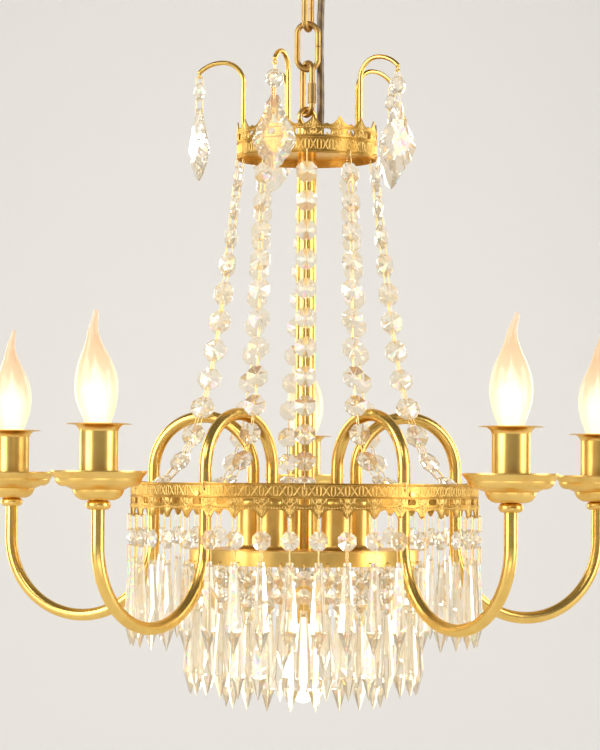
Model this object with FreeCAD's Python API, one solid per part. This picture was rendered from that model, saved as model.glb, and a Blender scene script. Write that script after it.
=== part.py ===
"""Crystal chandelier with five candle arms, hung on a chain from a ceiling canopy.

Millimetres, +Z up. The origin is the middle of the two ceiling screws, on the bracket's top face,
so everything hangs below z = 0. Azimuth 0 is the front (-Y) and azimuth +90 is the right (+X).
"""
import FreeCAD, Part
import math
import os

V = FreeCAD.Vector
ORIGIN = V(0, 0, 0)
UP = V(0, 0, 1)

# ---- Driving dimensions ----------------------------------------------------------------------

# Fits
RUNNING_GAP = 0.05          # radial gap of a sleeve or nut on its rod
SEAT_GAP = 0.1              # gap of a pressed or soldered round seat
LINK_GAP = 0.3              # gap between two links that hang in each other
CORD_GAP = 0.35             # gap round the cord in its grommet and eyelet

# Threaded tube that all the lamp fittings are made for, and its hexagon nut
THREAD_R = 5.25
THREAD_BORE_R = 4.25
NUT_ACROSS_FLATS = 16.0
NUT_HEIGHT = 4.0

# Ceiling bracket, canopy and its loop
BRACKET_LENGTH = 104.0
BRACKET_WIDTH = 22.0
BRACKET_THICKNESS = 2.5
CEILING_SCREW_SPACING = 84.0
CEILING_SCREW_HOLE_R = 2.6
CANOPY_R = 58.0
CANOPY_DEPTH = 50.0
CANOPY_RIM_HEIGHT = 7.0
CANOPY_FLAT_R = 29.0
CANOPY_WALL = 1.2
TERMINAL_LENGTH = 22.0
TERMINAL_WIDTH = 16.0
TERMINAL_HEIGHT = 15.0
LOOP_FLANGE_R = 12.0
LOOP_FLANGE_THICKNESS = 3.0
LOOP_NECK_R = 8.0
LOOP_NECK_LENGTH = 8.8
LOOP_THREAD_DEPTH = 9.0
LOOP_RING_R = 9.5
LOOP_WIRE_R = 2.5

# Chain, quick link and the eye on top of the stem
LINK_LENGTH = 45.0
LINK_WIDTH = 22.8
LINK_WIRE_R = 2.45
LINK_SLIT = 0.6
UPPER_LINK_TWIST = 19.0     # degrees off the plane square to the lower link
QUICK_LENGTH = 50.4
QUICK_WIDTH = 21.0
QUICK_WIRE_R = 2.5
QUICK_TWIST = 30.0
QUICK_HANG = 0.7            # gap at the crossing, where the two links don't cross squarely
QUICK_MOUTH = 10.0
QUICK_ENGAGEMENT = 4.0
SLEEVE_R = 3.7
SLEEVE_LENGTH = 17.0
EYE_RING_R = 7.5
EYE_WIRE_R = 2.3
EYE_BOSS_R = 8.0
EYE_BOSS_HEIGHT = 18.0

# Power cord: its route is chosen by hand
CORD_R = 3.3
CORD_ROUTE = (
    (13.0, 14.0, -44.0),
    (13.0, 14.0, -62.0),
    (11.2, 10.6, -95.0),
    (10.9, 9.4, -135.0),
    (11.9, 10.0, -172.0),
    (11.5, 11.2, -204.0),
    (11.5, 11.2, -219.2),
)
GROMMET_R = 6.2
GROMMET_GROOVE_R = 4.9
GROMMET_LIP = 1.2
EYELET_WALL = 1.2
EYELET_HEIGHT = 4.0

# Crown
CROWN_R = 60.6
CROWN_WALL = 1.0
CROWN_BAND_HEIGHT = 15.0
CROWN_CREST_HEIGHT = 17.0
CREST_COUNT = 16
CREST_TURN = 5.0            # degrees from the front's middle to the nearest leaf
CREST_NOTCH = (             # half of the outline between two leaves: aside, above the band
    (11.9, 18.0),
    (11.5, 17.0),
    (8.9, 13.2),
    (5.9, 10.6),
    (3.3, 9.6),
    (1.7, 9.9),
    (0.0, 10.8),
)
CREST_WINDOW_W = 7.0
CREST_WINDOW_H = 5.2
WINDOW_CORNER_R = 1.6
CROWN_PLATE_THICKNESS = 1.5
CROWN_PLATE_RECESS = 6.2    # from the band's lower edge up to the plate
BEAD_LINE_R = 0.7           # half-round beaded mouldings on both galleries

# Crown hooks and their pendants
HOOK_AZIMUTHS = (-89.0, -17.0, 55.0, 127.0, 199.0)
HOOK_FACINGS = (-62.0, -14.0, 34.0, 130.0, 196.0)   # which way each pendant has come to face
HOOK_WIRE_R = 2.0
HOOK_BASE_R = 55.5
HOOK_RISE = 61.0
HOOK_BEND_R = 17.4
HOOK_ARCH_R = 29.0
HOOK_ARCH_ANGLE = 46.0
HOOK_EYE_R = 1.6
HOOK_EYE_WIRE_R = 0.65
HOOK_NUT_ACROSS_FLATS = 6.0
HOOK_NUT_HEIGHT = 2.4
PENDANT_HEIGHT = 63.0
PENDANT_WIDTH = 38.0
PENDANT_THICKNESS = 11.0
PENDANT_TABLE_SCALE = 0.5
PENDANT_HOLE_INSET = 4.2
PENDANT_TOP_LINK = 7.5
PENDANT_LOW_LINK = 12.5

# Stem
STEM_LENGTH = 343.4
STEM_R = 8.4
STEM_WALL = 1.4

# Drum under the arms
DRUM_R = 98.7
DRUM_HEIGHT = 12.7
DRUM_TOP_THICKNESS = 1.5
DRUM_WALL = 1.0
DRUM_COVER_DROP = 5.9
DRUM_COVER_THICKNESS = 1.2
DRUM_HOOK_HEIGHT = 3.0      # of the hook holes above the drum's lower edge
INNER_RING_R = 67.0
INNER_RING_HEIGHT = 7.0
INNER_RING_WALL = 1.0

# Arms, from the drum's top: up, over, down outside the drum and up to the candle
ARM_AZIMUTHS = (36.0, 108.0, 180.0, 252.0, 324.0)
ARM_BASE_R = 47.0
ARM_RISE = 68.2
ARM_ARCH_R = 46.2
ARM_FALL = 61.0
ARM_SWEEP_R = 68.2
ARM_STEM_RISE = 27.5
ARM_TAIL = 5.8              # of the arm's foot below the drum's top face
BASE_CUP_R = 13.3
BASE_CUP_HEIGHT = 43.0
BASE_CUP_SHOULDER_R = 9.0
BASE_CUP_FLANGE_R = 17.2
CUP_WALL = 0.9

# Candle fittings
COLLAR_R = 9.85
COLLAR_HEIGHT = 7.4
PAN_R = 38.4
PAN_HEIGHT = 23.3
PAN_WALL = 1.2
SEAT_R = 18.0
SEAT_HEIGHT = 8.9
SEAT_THICKNESS = 1.2
SEAT_BOSS_R = 8.0
COVER_R = 15.2
COVER_WALL = 0.8
COVER_FLANGE_R = 26.4
COVER_FLARE_HEIGHT = 5.5
COVER_HEIGHT = 49.7
HOLDER_R = 12.6
HOLDER_HEIGHT = 31.0
HOLDER_FLOOR = 3.0
BULB_CAP_R = 6.95
BULB_CAP_LENGTH = 21.0
BULB_SHOULDER_R = 7.6
BULB_NECK_R = 10.0
BULB_R = 17.5
BULB_BULGE_HEIGHT = 41.5    # of the widest place above the cap
BULB_HEIGHT = 105.5         # of the tip above the cap
BULB_TAIL_BEND = 7.0

# Lamp in the middle, which hangs from the drum
CENTRE_ROD_BELOW_DRUM = 21.0
CENTRE_CUP_LENGTH = 38.0
CENTRE_BULB_LENGTH = 71.0
CENTRE_BULB_END_R = 10.0

# Main ring, a stamped strip with a lace edge
RING_R = 150.0
RING_WALL = 1.2
RING_ABOVE_DRUM = 56.7
RING_BAND_HEIGHT = 11.8
LACE_HEIGHT = 17.2
LACE_COUNT = 40
LACE_HOLE_INSET = 2.2       # of each motif's hook hole above its tip
LACE_ARCH = (               # half of the outline between two motifs: aside, above the tips
    (11.6, -1.0),
    (11.3, 0.0),
    (9.3, 2.0),
    (8.1, 4.0),
    (6.8, 6.0),
    (4.6, 7.0),
    (0.0, 7.6),
)
LACE_WINDOW_W = 8.8
LACE_WINDOW_H = 4.9
SPACER_R = 3.4
RING_SCREW_R = 1.5
RING_SCREW_HEAD_R = 2.2
RING_SCREW_HEAD = 1.2
RING_SCREW_DROP = 8.6       # below the ring's top edge
RING_HOOK_DROP = 5.2

# Cut crystals and the wire links that join them
STRAND_OCTAGON_R = 9.6      # corner radius of an octagon: in a strand, over a prism, pair of small ones
OCTAGON_R = 8.3
SMALL_OCTAGON_R = 7.0
OCTAGON_THICKNESS = 8.0
OCTAGON_GIRDLE = 1.6
OCTAGON_TABLE_SCALE = 0.45
OCTAGON_HOLE_INSET = 1.7    # of a hole's middle inside the flat edge
CRYSTAL_HOLE_R = 0.95
PRISM_LENGTH = 76.0
PRISM_WIDTH = 14.6
PRISM_HEAD_WIDTH = 6.0
PRISM_DEPTH_RATIO = 0.75
PRISM_SHOULDER = 0.74       # of the length, where it is widest
PRISM_HOLE_INSET = 3.6
WIRE_R = 0.4
WIRE_BEND_R = 0.85
WIRE_SLACK = 0.3

# Hanging drops: how many, and the free wire between one hole and the next
RING_DROP_LINKS = (14.4, 15.0)
DRUM_DROP_AZIMUTHS = [11.25 * k for k in range(32)]
DRUM_DROP_LINKS = (8.0, 5.4, 10.0)
INNER_DROP_AZIMUTHS = [18.0 * (k + 0.5) for k in range(20)]
INNER_DROP_LINKS = (11.4, 9.4, 12.5)

# Bead strands from the crown to the main ring
STRAND_AZIMUTHS = (0.0, 36.0, 72.0, 108.0, 144.0, 180.0, 216.0, 252.0, 288.0, 324.0)
STRAND_BEADS = 12
STRAND_PITCH = 25.2
STRAND_FIRST = 20.3         # along the strand from the crown's hole to the first bead
STRAND_UPPER_OUT = 0.21     # shape of the fall: share of the run outwards, then of the drop
STRAND_UPPER_DOWN = 0.49
STRAND_LOWER_IN = 0.77
STRAND_SIDESTEP = 30.0      # how hard a strand swings aside where it passes an arm
STRAND_SIDE_END = 7.0       # and how far aside it hooks on
STRAND_TURNS = (0.0, 0.05, 0.2, 0.4, 0.6, 0.78, 0.85, 0.85, 0.75, 0.55, 0.3, 0.12)  # of its turn to the front
RING_HOOK_HOLE_R = 1.2

# ---- Levels, worked out from the ceiling down ------------------------------------------------

loop_flange_z = -CANOPY_DEPTH
loop_neck_z = loop_flange_z - LOOP_FLANGE_THICKNESS - LOOP_NECK_LENGTH
loop_ring_z = loop_neck_z + LOOP_WIRE_R - LOOP_RING_R - LOOP_WIRE_R / 2
upper_pivot_z = loop_ring_z - LOOP_RING_R
upper_link_top = upper_pivot_z + LOOP_WIRE_R + LINK_GAP + 2 * LINK_WIRE_R
lower_pivot_z = upper_link_top - LINK_LENGTH + LINK_WIRE_R
lower_link_top = lower_pivot_z + LINK_WIRE_R + LINK_GAP + 2 * LINK_WIRE_R
quick_link_top = lower_link_top - LINK_LENGTH + 2 * LINK_WIRE_R + QUICK_HANG + 2 * QUICK_WIRE_R
quick_link_bottom = quick_link_top - QUICK_LENGTH
eye_ring_z = quick_link_bottom + 2 * QUICK_WIRE_R + LINK_GAP - (EYE_RING_R - EYE_WIRE_R)
eye_boss_top = eye_ring_z - EYE_RING_R
crown_nut_top = eye_boss_top - EYE_BOSS_HEIGHT
crown_plate_top = crown_nut_top - NUT_HEIGHT
crown_plate_bottom = crown_plate_top - CROWN_PLATE_THICKNESS
crown_bottom = crown_plate_bottom - CROWN_PLATE_RECESS
crown_band_top = crown_bottom + CROWN_BAND_HEIGHT
crown_hook_hole_z = crown_bottom + 3.6
drum_top = crown_plate_bottom - STEM_LENGTH
drum_bottom = drum_top - DRUM_HEIGHT
drum_cover_top = drum_top - DRUM_COVER_DROP
drum_cover_bottom = drum_cover_top - DRUM_COVER_THICKNESS
drum_hook_z = drum_bottom + DRUM_HOOK_HEIGHT
inner_ring_bottom = drum_cover_bottom - INNER_RING_HEIGHT
inner_hook_z = inner_ring_bottom + DRUM_HOOK_HEIGHT
arch_z = drum_top + ARM_RISE
sweep_z = arch_z - ARM_FALL
arm_outer_r = ARM_BASE_R + 2 * ARM_ARCH_R
candle_r = arm_outer_r + 2 * ARM_SWEEP_R
collar_bottom = sweep_z + ARM_STEM_RISE
pan_bottom = collar_bottom + COLLAR_HEIGHT
pan_floor = pan_bottom + PAN_WALL
seat_top = pan_bottom + SEAT_HEIGHT + SEAT_THICKNESS
candle_nut_top = seat_top + NUT_HEIGHT
holder_top = candle_nut_top + HOLDER_HEIGHT
cap_bottom = holder_top - BULB_CAP_LENGTH
ring_top = drum_top + RING_ABOVE_DRUM
ring_band_bottom = ring_top - RING_BAND_HEIGHT
lace_bottom = ring_band_bottom - LACE_HEIGHT
lace_hook_z = lace_bottom + LACE_HOLE_INSET
lace_pitch = 360.0 / LACE_COUNT
hang_offset = CRYSTAL_HOLE_R - WIRE_R - RUNNING_GAP
centre_rod_bottom = drum_bottom - CENTRE_ROD_BELOW_DRUM
centre_cup_top = drum_bottom - CENTRE_ROD_BELOW_DRUM + 2 * NUT_HEIGHT

# ---- Small helpers ---------------------------------------------------------------------------


def save(name, *shapes):
    """Writes the solids of one node."""
    solids = [solid for shape in shapes for solid in shape.Solids]
    Part.makeCompound(solids).exportStep("parts/" + name + ".step")


def polar(radius, azimuth, z, side=0.0):
    """A point at an azimuth, and off to its left or right by side."""
    a = math.radians(azimuth)
    return V(radius * math.sin(a) + side * math.cos(a), -radius * math.cos(a) + side * math.sin(a), z)


def outward(azimuth):
    """The level unit vector at an azimuth."""
    return polar(1.0, azimuth, 0.0)


def turned_to(shape, azimuth, z=0.0):
    """A copy of a shape made along +X, swung to an azimuth and lifted by z."""
    copy = shape.copy()
    copy.rotate(ORIGIN, UP, azimuth - 90.0)
    copy.translate(V(0, 0, z))
    return copy


def all_round(shape, azimuths):
    """Copies of a shape made along +X, one at each azimuth."""
    return [turned_to(shape, azimuth) for azimuth in azimuths]


def moved(shape, *offset):
    """A shifted copy."""
    copy = shape.copy()
    copy.translate(V(*offset))
    return copy


def disc(radius, low, high, bore=0.0):
    """An upright cylinder, with a hole along it if bore is given."""
    body = Part.makeCylinder(radius, high - low, V(0, 0, low))
    if bore:
        body = body.cut(Part.makeCylinder(bore, high - low + 2, V(0, 0, low - 1)))
    return body


def radial_pin(radius, start, end, azimuth, z, side=0.0):
    """A level cylinder that runs outwards at an azimuth."""
    return Part.makeCylinder(radius, end - start, polar(start, azimuth, z, side), outward(azimuth))


def turned(points):
    """A solid of revolution about Z. A point is (r, z), or (r, z, r_mid, z_mid) at the end of an arc."""
    edges = []
    here = V(points[-1][0], 0, points[-1][1])
    for r, z, *middle in points:
        there = V(r, 0, z)
        if middle:
            edges.append(Part.Arc(here, V(middle[0], 0, middle[1]), there).toShape())
        else:
            edges.append(Part.LineSegment(here, there).toShape())
        here = there
    return Part.Face(Part.Wire(edges)).revolve(ORIGIN, UP, 360)


def shell_of(outline, wall):
    """A turned shell: the outline, and the same outline lifted by the wall, joined at both ends."""
    lifted = []
    for r, z, *middle in outline:
        lifted.append((r, z + wall, *((middle[0], middle[1] + wall) if middle else ())))
    back = []
    for index in range(len(lifted) - 1, -1, -1):
        r, z = lifted[index][:2]
        middle = lifted[index + 1][2:] if index + 1 < len(lifted) else ()
        back.append((r, z, *middle))
    return turned(outline + back)


def rounded_edges(points, bend_r, closed=False):
    """Straight runs between points, joined by tangent arcs of one radius or of one radius a corner."""
    count = len(points)
    corners = range(count) if closed else range(1, count - 1)
    radii = bend_r if isinstance(bend_r, list) else [bend_r] * count
    trimmed = {}
    for i in corners:
        before = (points[i - 1] - points[i]).normalize()
        after = (points[(i + 1) % count] - points[i]).normalize()
        half = before.getAngle(after) / 2
        setback = radii[i] / math.tan(half)
        middle = (before + after).normalize() * (radii[i] / math.sin(half) - radii[i])
        trimmed[i] = points[i] + before * setback, points[i] + middle, points[i] + after * setback
    edges = []
    for i in range(count if closed else count - 1):
        j = (i + 1) % count
        start = trimmed[i][2] if i in trimmed else points[i]
        end = trimmed[j][0] if j in trimmed else points[j]
        edges.append(Part.LineSegment(start, end).toShape())
        if j in trimmed:
            edges.append(Part.Arc(*trimmed[j]).toShape())
    return edges


def swept(edges, radius, bore=0.0):
    """A rod, or a tube if bore is given, along a smooth path of edges."""
    path = Part.Wire(edges)
    start = edges[0].valueAt(edges[0].FirstParameter)
    along = edges[0].tangentAt(edges[0].FirstParameter)
    face = Part.Face(Part.Wire(Part.makeCircle(radius, start, along)))
    if bore:
        face = face.cut(Part.Face(Part.Wire(Part.makeCircle(bore, start, along)))).Faces[0]
    return path.makePipe(face).Solids[0]


def racetrack(length, width, wire_r, top):
    """A closed link of round wire that stands in the XZ plane, given by its outer length and width."""
    half = width / 2 - wire_r
    high = top - wire_r - half
    low = top - length + wire_r + half
    edges = [
        Part.LineSegment(V(-half, 0, low), V(-half, 0, high)).toShape(),
        Part.Arc(V(-half, 0, high), V(0, 0, high + half), V(half, 0, high)).toShape(),
        Part.LineSegment(V(half, 0, high), V(half, 0, low)).toShape(),
        Part.Arc(V(half, 0, low), V(0, 0, low - half), V(-half, 0, low)).toShape(),
    ]
    return swept(edges, wire_r)


def hex_nut(across_flats, height, bore, bottom):
    """A hexagon nut on the Z axis."""
    corner_r = across_flats / math.sqrt(3)
    corners = [polar(corner_r, 60.0 * k, bottom) for k in range(7)]
    body = Part.Face(Part.makePolygon(corners)).extrude(V(0, 0, height))
    return body.cut(Part.makeCylinder(bore, height + 2, V(0, 0, bottom - 1)))


def tube_nut(bottom):
    """The hexagon nut of the threaded tube."""
    return hex_nut(NUT_ACROSS_FLATS, NUT_HEIGHT, THREAD_R + RUNNING_GAP, bottom)


def polyhedron(faces):
    """A solid from its flat faces, each a list of points."""
    shell = Part.Shell([Part.Face(Part.makePolygon(face + face[:1])) for face in faces])
    solid = Part.Solid(shell)
    if solid.Volume < 0:
        solid.reverse()
    return solid


# ---- Crystals and wire -----------------------------------------------------------------------


def faceted_plate(outline, thickness, girdle, table_scale):
    """A cut stone in the YZ plane: its girdle, a ring of bevels on both sides and two tables."""
    def layer(x, scale):
        return [V(x, y * scale, z * scale) for y, z in outline]

    front = layer(thickness / 2, table_scale)
    front_edge = layer(girdle / 2, 1.0)
    back_edge = layer(-girdle / 2, 1.0)
    back = layer(-thickness / 2, table_scale)
    faces = [front, back[::-1]]
    for upper, lower in ((front, front_edge), (front_edge, back_edge), (back_edge, back)):
        for i in range(len(outline)):
            j = (i + 1) % len(outline)
            faces.append([upper[i], lower[i], lower[j], upper[j]])
    return polyhedron(faces)


def drilled(stone, heights, reach):
    """The stone with level holes along X, at heights on its Z axis."""
    drills = [Part.makeCylinder(CRYSTAL_HOLE_R, 2 * reach, V(-reach, 0, z), V(1, 0, 0)) for z in heights]
    return stone.cut(drills)


def octagon_hole(radius):
    """How far an octagon's holes are from its middle."""
    return radius * math.cos(math.pi / 8) - OCTAGON_HOLE_INSET


def octagon_depth(radius):
    """How thick an octagon is at its holes."""
    flat = radius * math.cos(math.pi / 8)
    rise = OCTAGON_HOLE_INSET / (flat * (1 - OCTAGON_TABLE_SCALE))
    return OCTAGON_GIRDLE + rise * (OCTAGON_THICKNESS - OCTAGON_GIRDLE)


def octagon(radius):
    """An octagon bead about the origin, facing +X, with a hole at its top and its bottom."""
    angles = [math.radians(22.5 + 45.0 * k) for k in range(8)]
    outline = [(radius * math.cos(a), radius * math.sin(a)) for a in angles]
    stone = faceted_plate(outline, OCTAGON_THICKNESS, OCTAGON_GIRDLE, OCTAGON_TABLE_SCALE)
    hole = octagon_hole(radius)
    return drilled(stone, (hole, -hole), OCTAGON_THICKNESS)


def prism():
    """A spear prism that hangs from z = 0, facing +X: head, shoulder and point, six-sided."""
    def section(z, width):
        half = width / 2
        deep = half * PRISM_DEPTH_RATIO
        corners = ((0, 1), (1, 0.5), (1, -0.5), (0, -1), (-1, -0.5), (-1, 0.5))
        return [V(deep * x, half * y, z) for x, y in corners]

    top = section(0.0, PRISM_HEAD_WIDTH)
    shoulder = section(-PRISM_LENGTH * PRISM_SHOULDER, PRISM_WIDTH)
    point = V(0, 0, -PRISM_LENGTH)
    faces = [top]
    for i in range(6):
        j = (i + 1) % 6
        faces.append([top[i], shoulder[i], shoulder[j], top[j]])
        faces.append([shoulder[i], point, shoulder[j]])
    return drilled(polyhedron(faces), (-PRISM_HOLE_INSET,), PRISM_WIDTH)


def pendant_stone():
    """A flat leaf-shaped pendant about its middle, facing +X, with a hole near its top."""
    half_w = PENDANT_WIDTH / 2
    half_h = PENDANT_HEIGHT / 2
    right = (
        (0.17, 1.0), (0.3, 0.84), (0.26, 0.74), (0.52, 0.5), (0.5, 0.41), (0.84, 0.12), (0.83, 0.02),
        (1.0, -0.16), (0.97, -0.3), (0.74, -0.5), (0.72, -0.59), (0.42, -0.76), (0.4, -0.83),
    )
    outline = [(half_w * y, half_h * z) for y, z in right]
    outline.append((0.0, -half_h))
    outline += [(-y, z) for y, z in outline[-2::-1]]
    stone = faceted_plate(outline, PENDANT_THICKNESS, OCTAGON_GIRDLE, PENDANT_TABLE_SCALE)
    return drilled(stone, (half_h - PENDANT_HOLE_INSET,), PENDANT_THICKNESS)


def link_width(depth):
    """The width of a wire link that passes through a hole of that depth."""
    return depth + 2 * WIRE_BEND_R + WIRE_SLACK


def wire_link(start, end, across, width, ease=0.0):
    """A closed wire link through two holes that run along across, pulled tight in both but for ease."""
    half = across.normalize() * (width / 2)
    pull = (end - start).normalize() * (hang_offset - ease)
    start, end = start + pull, end - pull
    return swept(rounded_edges([start - half, end - half, end + half, start + half], WIRE_BEND_R, True), WIRE_R)


def drop(hook_r, hook_z, links, octagon_r):
    """A hanging drop along +X: wire, octagons and a prism. Gives its octagons, prisms and wire links."""
    width = link_width(octagon_depth(octagon_r))
    stone = octagon(octagon_r)
    hole = octagon_hole(octagon_r)
    octagons, wires, z = [], [], hook_z
    for index, free in enumerate(links):
        wires.append(wire_link(V(hook_r, 0, z), V(hook_r, 0, z - free), V(1, 0, 0), width))
        z -= free
        if index < len(links) - 1:
            octagons.append(moved(stone, hook_r, 0, z - hole))
            z -= 2 * hole
    return octagons, [moved(prism(), hook_r, 0, z + PRISM_HOLE_INSET)], wires


def drops_all_round(made, azimuths):
    """The three groups of a drop, repeated at each azimuth."""
    return [[turned_to(shape, azimuth) for azimuth in azimuths for shape in group] for group in made]


# ---- Ceiling ---------------------------------------------------------------------------------


def ceiling_bracket():
    """The steel strap that is screwed to the ceiling and carries the threaded tube."""
    strap = Part.makeBox(
        BRACKET_LENGTH, BRACKET_WIDTH, BRACKET_THICKNESS,
        V(-BRACKET_LENGTH / 2, -BRACKET_WIDTH / 2, -BRACKET_THICKNESS),
    )
    drills = [Part.makeCylinder(THREAD_R + SEAT_GAP, 3 * BRACKET_THICKNESS, V(0, 0, -2 * BRACKET_THICKNESS))]
    for x in (-CEILING_SCREW_SPACING / 2, CEILING_SCREW_SPACING / 2):
        drills.append(
            Part.makeCylinder(CEILING_SCREW_HOLE_R, 3 * BRACKET_THICKNESS, V(x, 0, -2 * BRACKET_THICKNESS))
        )
    return strap.cut(drills)


def canopy():
    """The domed cover over the bracket, with the loop's hole and the cord's hole in its flat bottom."""
    across = CANOPY_R - CANOPY_FLAT_R
    rise = CANOPY_DEPTH - CANOPY_RIM_HEIGHT
    dome_r = (across ** 2 + rise ** 2) / (2 * across)
    half_turn = math.asin(rise / dome_r) / 2
    bulge_r = CANOPY_R - dome_r * (1 - math.cos(half_turn))
    bulge_z = -CANOPY_RIM_HEIGHT - dome_r * math.sin(half_turn)
    hole_r = THREAD_R + SEAT_GAP
    outside = [
        (hole_r, -CANOPY_DEPTH),
        (CANOPY_FLAT_R, -CANOPY_DEPTH),
        (CANOPY_R, -CANOPY_RIM_HEIGHT, bulge_r, bulge_z),
        (CANOPY_R, 0.0),
    ]
    inside = [
        (CANOPY_R - CANOPY_WALL, 0.0),
        (CANOPY_R - CANOPY_WALL, -CANOPY_RIM_HEIGHT),
        (CANOPY_FLAT_R, -CANOPY_DEPTH + CANOPY_WALL, bulge_r - CANOPY_WALL, bulge_z + CANOPY_WALL),
        (hole_r, -CANOPY_DEPTH + CANOPY_WALL),
    ]
    cord_x, cord_y, _ = CORD_ROUTE[0]
    cord_hole = Part.makeCylinder(GROMMET_GROOVE_R + SEAT_GAP, 3 * CANOPY_WALL,
                                  V(cord_x, cord_y, -CANOPY_DEPTH - CANOPY_WALL))
    return turned(outside + inside).cut(cord_hole)


def canopy_loop():
    """The loop that screws up under the canopy: flange, neck and ring."""
    flange = Part.makeCylinder(LOOP_FLANGE_R, LOOP_FLANGE_THICKNESS,
                               V(0, 0, loop_flange_z - LOOP_FLANGE_THICKNESS))
    neck = Part.makeCylinder(LOOP_NECK_R, loop_flange_z - loop_neck_z, V(0, 0, loop_neck_z))
    ring = Part.makeTorus(LOOP_RING_R, LOOP_WIRE_R, V(0, 0, loop_ring_z), V(0, 1, 0))
    body = flange.fuse([neck, ring]).removeSplitter()
    thread = Part.makeCylinder(THREAD_R + RUNNING_GAP, LOOP_THREAD_DEPTH, V(0, 0, loop_flange_z - LOOP_THREAD_DEPTH))
    return turned_to(body.cut(thread), 90.0 - UPPER_LINK_TWIST)


def ceiling_tube():
    """The threaded tube from the bracket down into the canopy's loop."""
    return disc(THREAD_R, loop_flange_z - LOOP_THREAD_DEPTH + SEAT_GAP, -SEAT_GAP, THREAD_BORE_R)


def terminal_block():
    """The screw terminals under the bracket."""
    start_x = -CEILING_SCREW_SPACING / 2 + 2 * CEILING_SCREW_HOLE_R
    block = Part.makeBox(TERMINAL_LENGTH, TERMINAL_WIDTH, TERMINAL_HEIGHT,
                         V(start_x, -TERMINAL_WIDTH / 2, -BRACKET_THICKNESS - TERMINAL_HEIGHT))
    wells = []
    for share in (0.2, 0.5, 0.8):
        centre = V(start_x + share * TERMINAL_LENGTH, 0, -BRACKET_THICKNESS - TERMINAL_HEIGHT)
        wells.append(Part.makeCylinder(TERMINAL_LENGTH / 9, TERMINAL_HEIGHT / 2, centre))
    return block.cut(wells)


def cord_grommet():
    """The rubber grommet that the cord comes through, in the canopy's flat bottom."""
    bore_r = CORD_R + CORD_GAP
    low = -CANOPY_DEPTH
    high = low + CANOPY_WALL
    ring = turned([
        (bore_r, low - GROMMET_LIP), (GROMMET_R, low - GROMMET_LIP), (GROMMET_R, low - SEAT_GAP),
        (GROMMET_GROOVE_R, low - SEAT_GAP), (GROMMET_GROOVE_R, high + SEAT_GAP),
        (GROMMET_R, high + SEAT_GAP), (GROMMET_R, high + GROMMET_LIP), (bore_r, high + GROMMET_LIP),
    ])
    return moved(ring, CORD_ROUTE[0][0], CORD_ROUTE[0][1], 0)


# ---- Chain and cord --------------------------------------------------------------------------


def chain_link(top, twist):
    """An open chain link, with the slit of its joint on one side."""
    link = racetrack(LINK_LENGTH, LINK_WIDTH, LINK_WIRE_R, top)
    slit = Part.makeBox(LINK_WIDTH, LINK_WIDTH, LINK_SLIT,
                        V(0, -LINK_WIDTH / 2, top - (LINK_LENGTH + LINK_SLIT) / 2))
    return turned_to(link.cut(slit), 90.0 + twist)


def quick_link():
    """The link whose mouth the sleeve closes."""
    link = racetrack(QUICK_LENGTH, QUICK_WIDTH, QUICK_WIRE_R, quick_link_top)
    mouth = Part.makeBox(QUICK_WIDTH, QUICK_WIDTH, QUICK_MOUTH,
                         V(0, -QUICK_WIDTH / 2, sleeve_bottom() + QUICK_ENGAGEMENT))
    return turned_to(link.cut(mouth), QUICK_TWIST)


def sleeve_bottom():
    """The sleeve's lower end, at the start of the link's straight side."""
    return quick_link_bottom + QUICK_WIDTH / 2 + 1.5


def quick_link_sleeve():
    """The screw sleeve on the quick link's front side."""
    x = QUICK_WIDTH / 2 - QUICK_WIRE_R
    sleeve = disc(SLEEVE_R, sleeve_bottom(), sleeve_bottom() + SLEEVE_LENGTH, QUICK_WIRE_R + RUNNING_GAP)
    return turned_to(moved(sleeve, x, 0, 0), QUICK_TWIST)


def power_cord():
    """The cord's straight runs and the large arcs between them."""
    points = [V(*point) for point in CORD_ROUTE]
    radii = [0.0]
    for before, here, after in zip(points, points[1:], points[2:]):
        turn = (here - before).getAngle(after - here)
        shorter = min((here - before).Length, (after - here).Length)
        radii.append(0.45 * shorter / math.tan(turn / 2))
    radii.append(0.0)
    edges = rounded_edges(points, radii)
    length = sum(edge.Length for edge in edges)
    cord = swept(edges, CORD_R)
    print("cord radii", [round(r) for r in radii[1:-1]], "length", round(length, 1),
          "volume ratio", round(cord.Volume / (math.pi * CORD_R ** 2 * length), 4))
    return cord


# ---- Crown -----------------------------------------------------------------------------------


def top_eye():
    """The eye ring on its boss, screwed on the stem's inner tube."""
    ring = Part.makeTorus(EYE_RING_R, EYE_WIRE_R, V(0, 0, eye_ring_z), V(0, 1, 0))
    boss = Part.makeCylinder(EYE_BOSS_R, EYE_BOSS_HEIGHT, V(0, 0, crown_nut_top))
    thread = Part.makeCylinder(THREAD_R + RUNNING_GAP, EYE_BOSS_HEIGHT / 2, V(0, 0, crown_nut_top))
    return turned_to(ring.fuse(boss).removeSplitter().cut(thread), 90.0 + QUICK_TWIST)


def crown_plate():
    """The plate inside the crown, with the cord's blind eyelet on top."""
    plate = Part.makeCylinder(CROWN_R - CROWN_WALL - SEAT_GAP, CROWN_PLATE_THICKNESS, V(0, 0, crown_plate_bottom))
    cord_x, cord_y, _ = CORD_ROUTE[-1]
    bore_r = CORD_R + CORD_GAP
    eyelet = moved(disc(bore_r + EYELET_WALL, crown_plate_top, crown_plate_top + EYELET_HEIGHT, bore_r),
                   cord_x, cord_y, 0)
    holes = [disc(THREAD_R + RUNNING_GAP, crown_plate_bottom - 1, crown_plate_top + 1)]
    for azimuth in HOOK_AZIMUTHS:
        foot = polar(HOOK_BASE_R, azimuth, crown_plate_bottom - 1)
        holes.append(Part.makeCylinder(HOOK_WIRE_R + RUNNING_GAP, CROWN_PLATE_THICKNESS + 2, foot))
    return plate.fuse(eyelet).removeSplitter().cut(holes)


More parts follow.
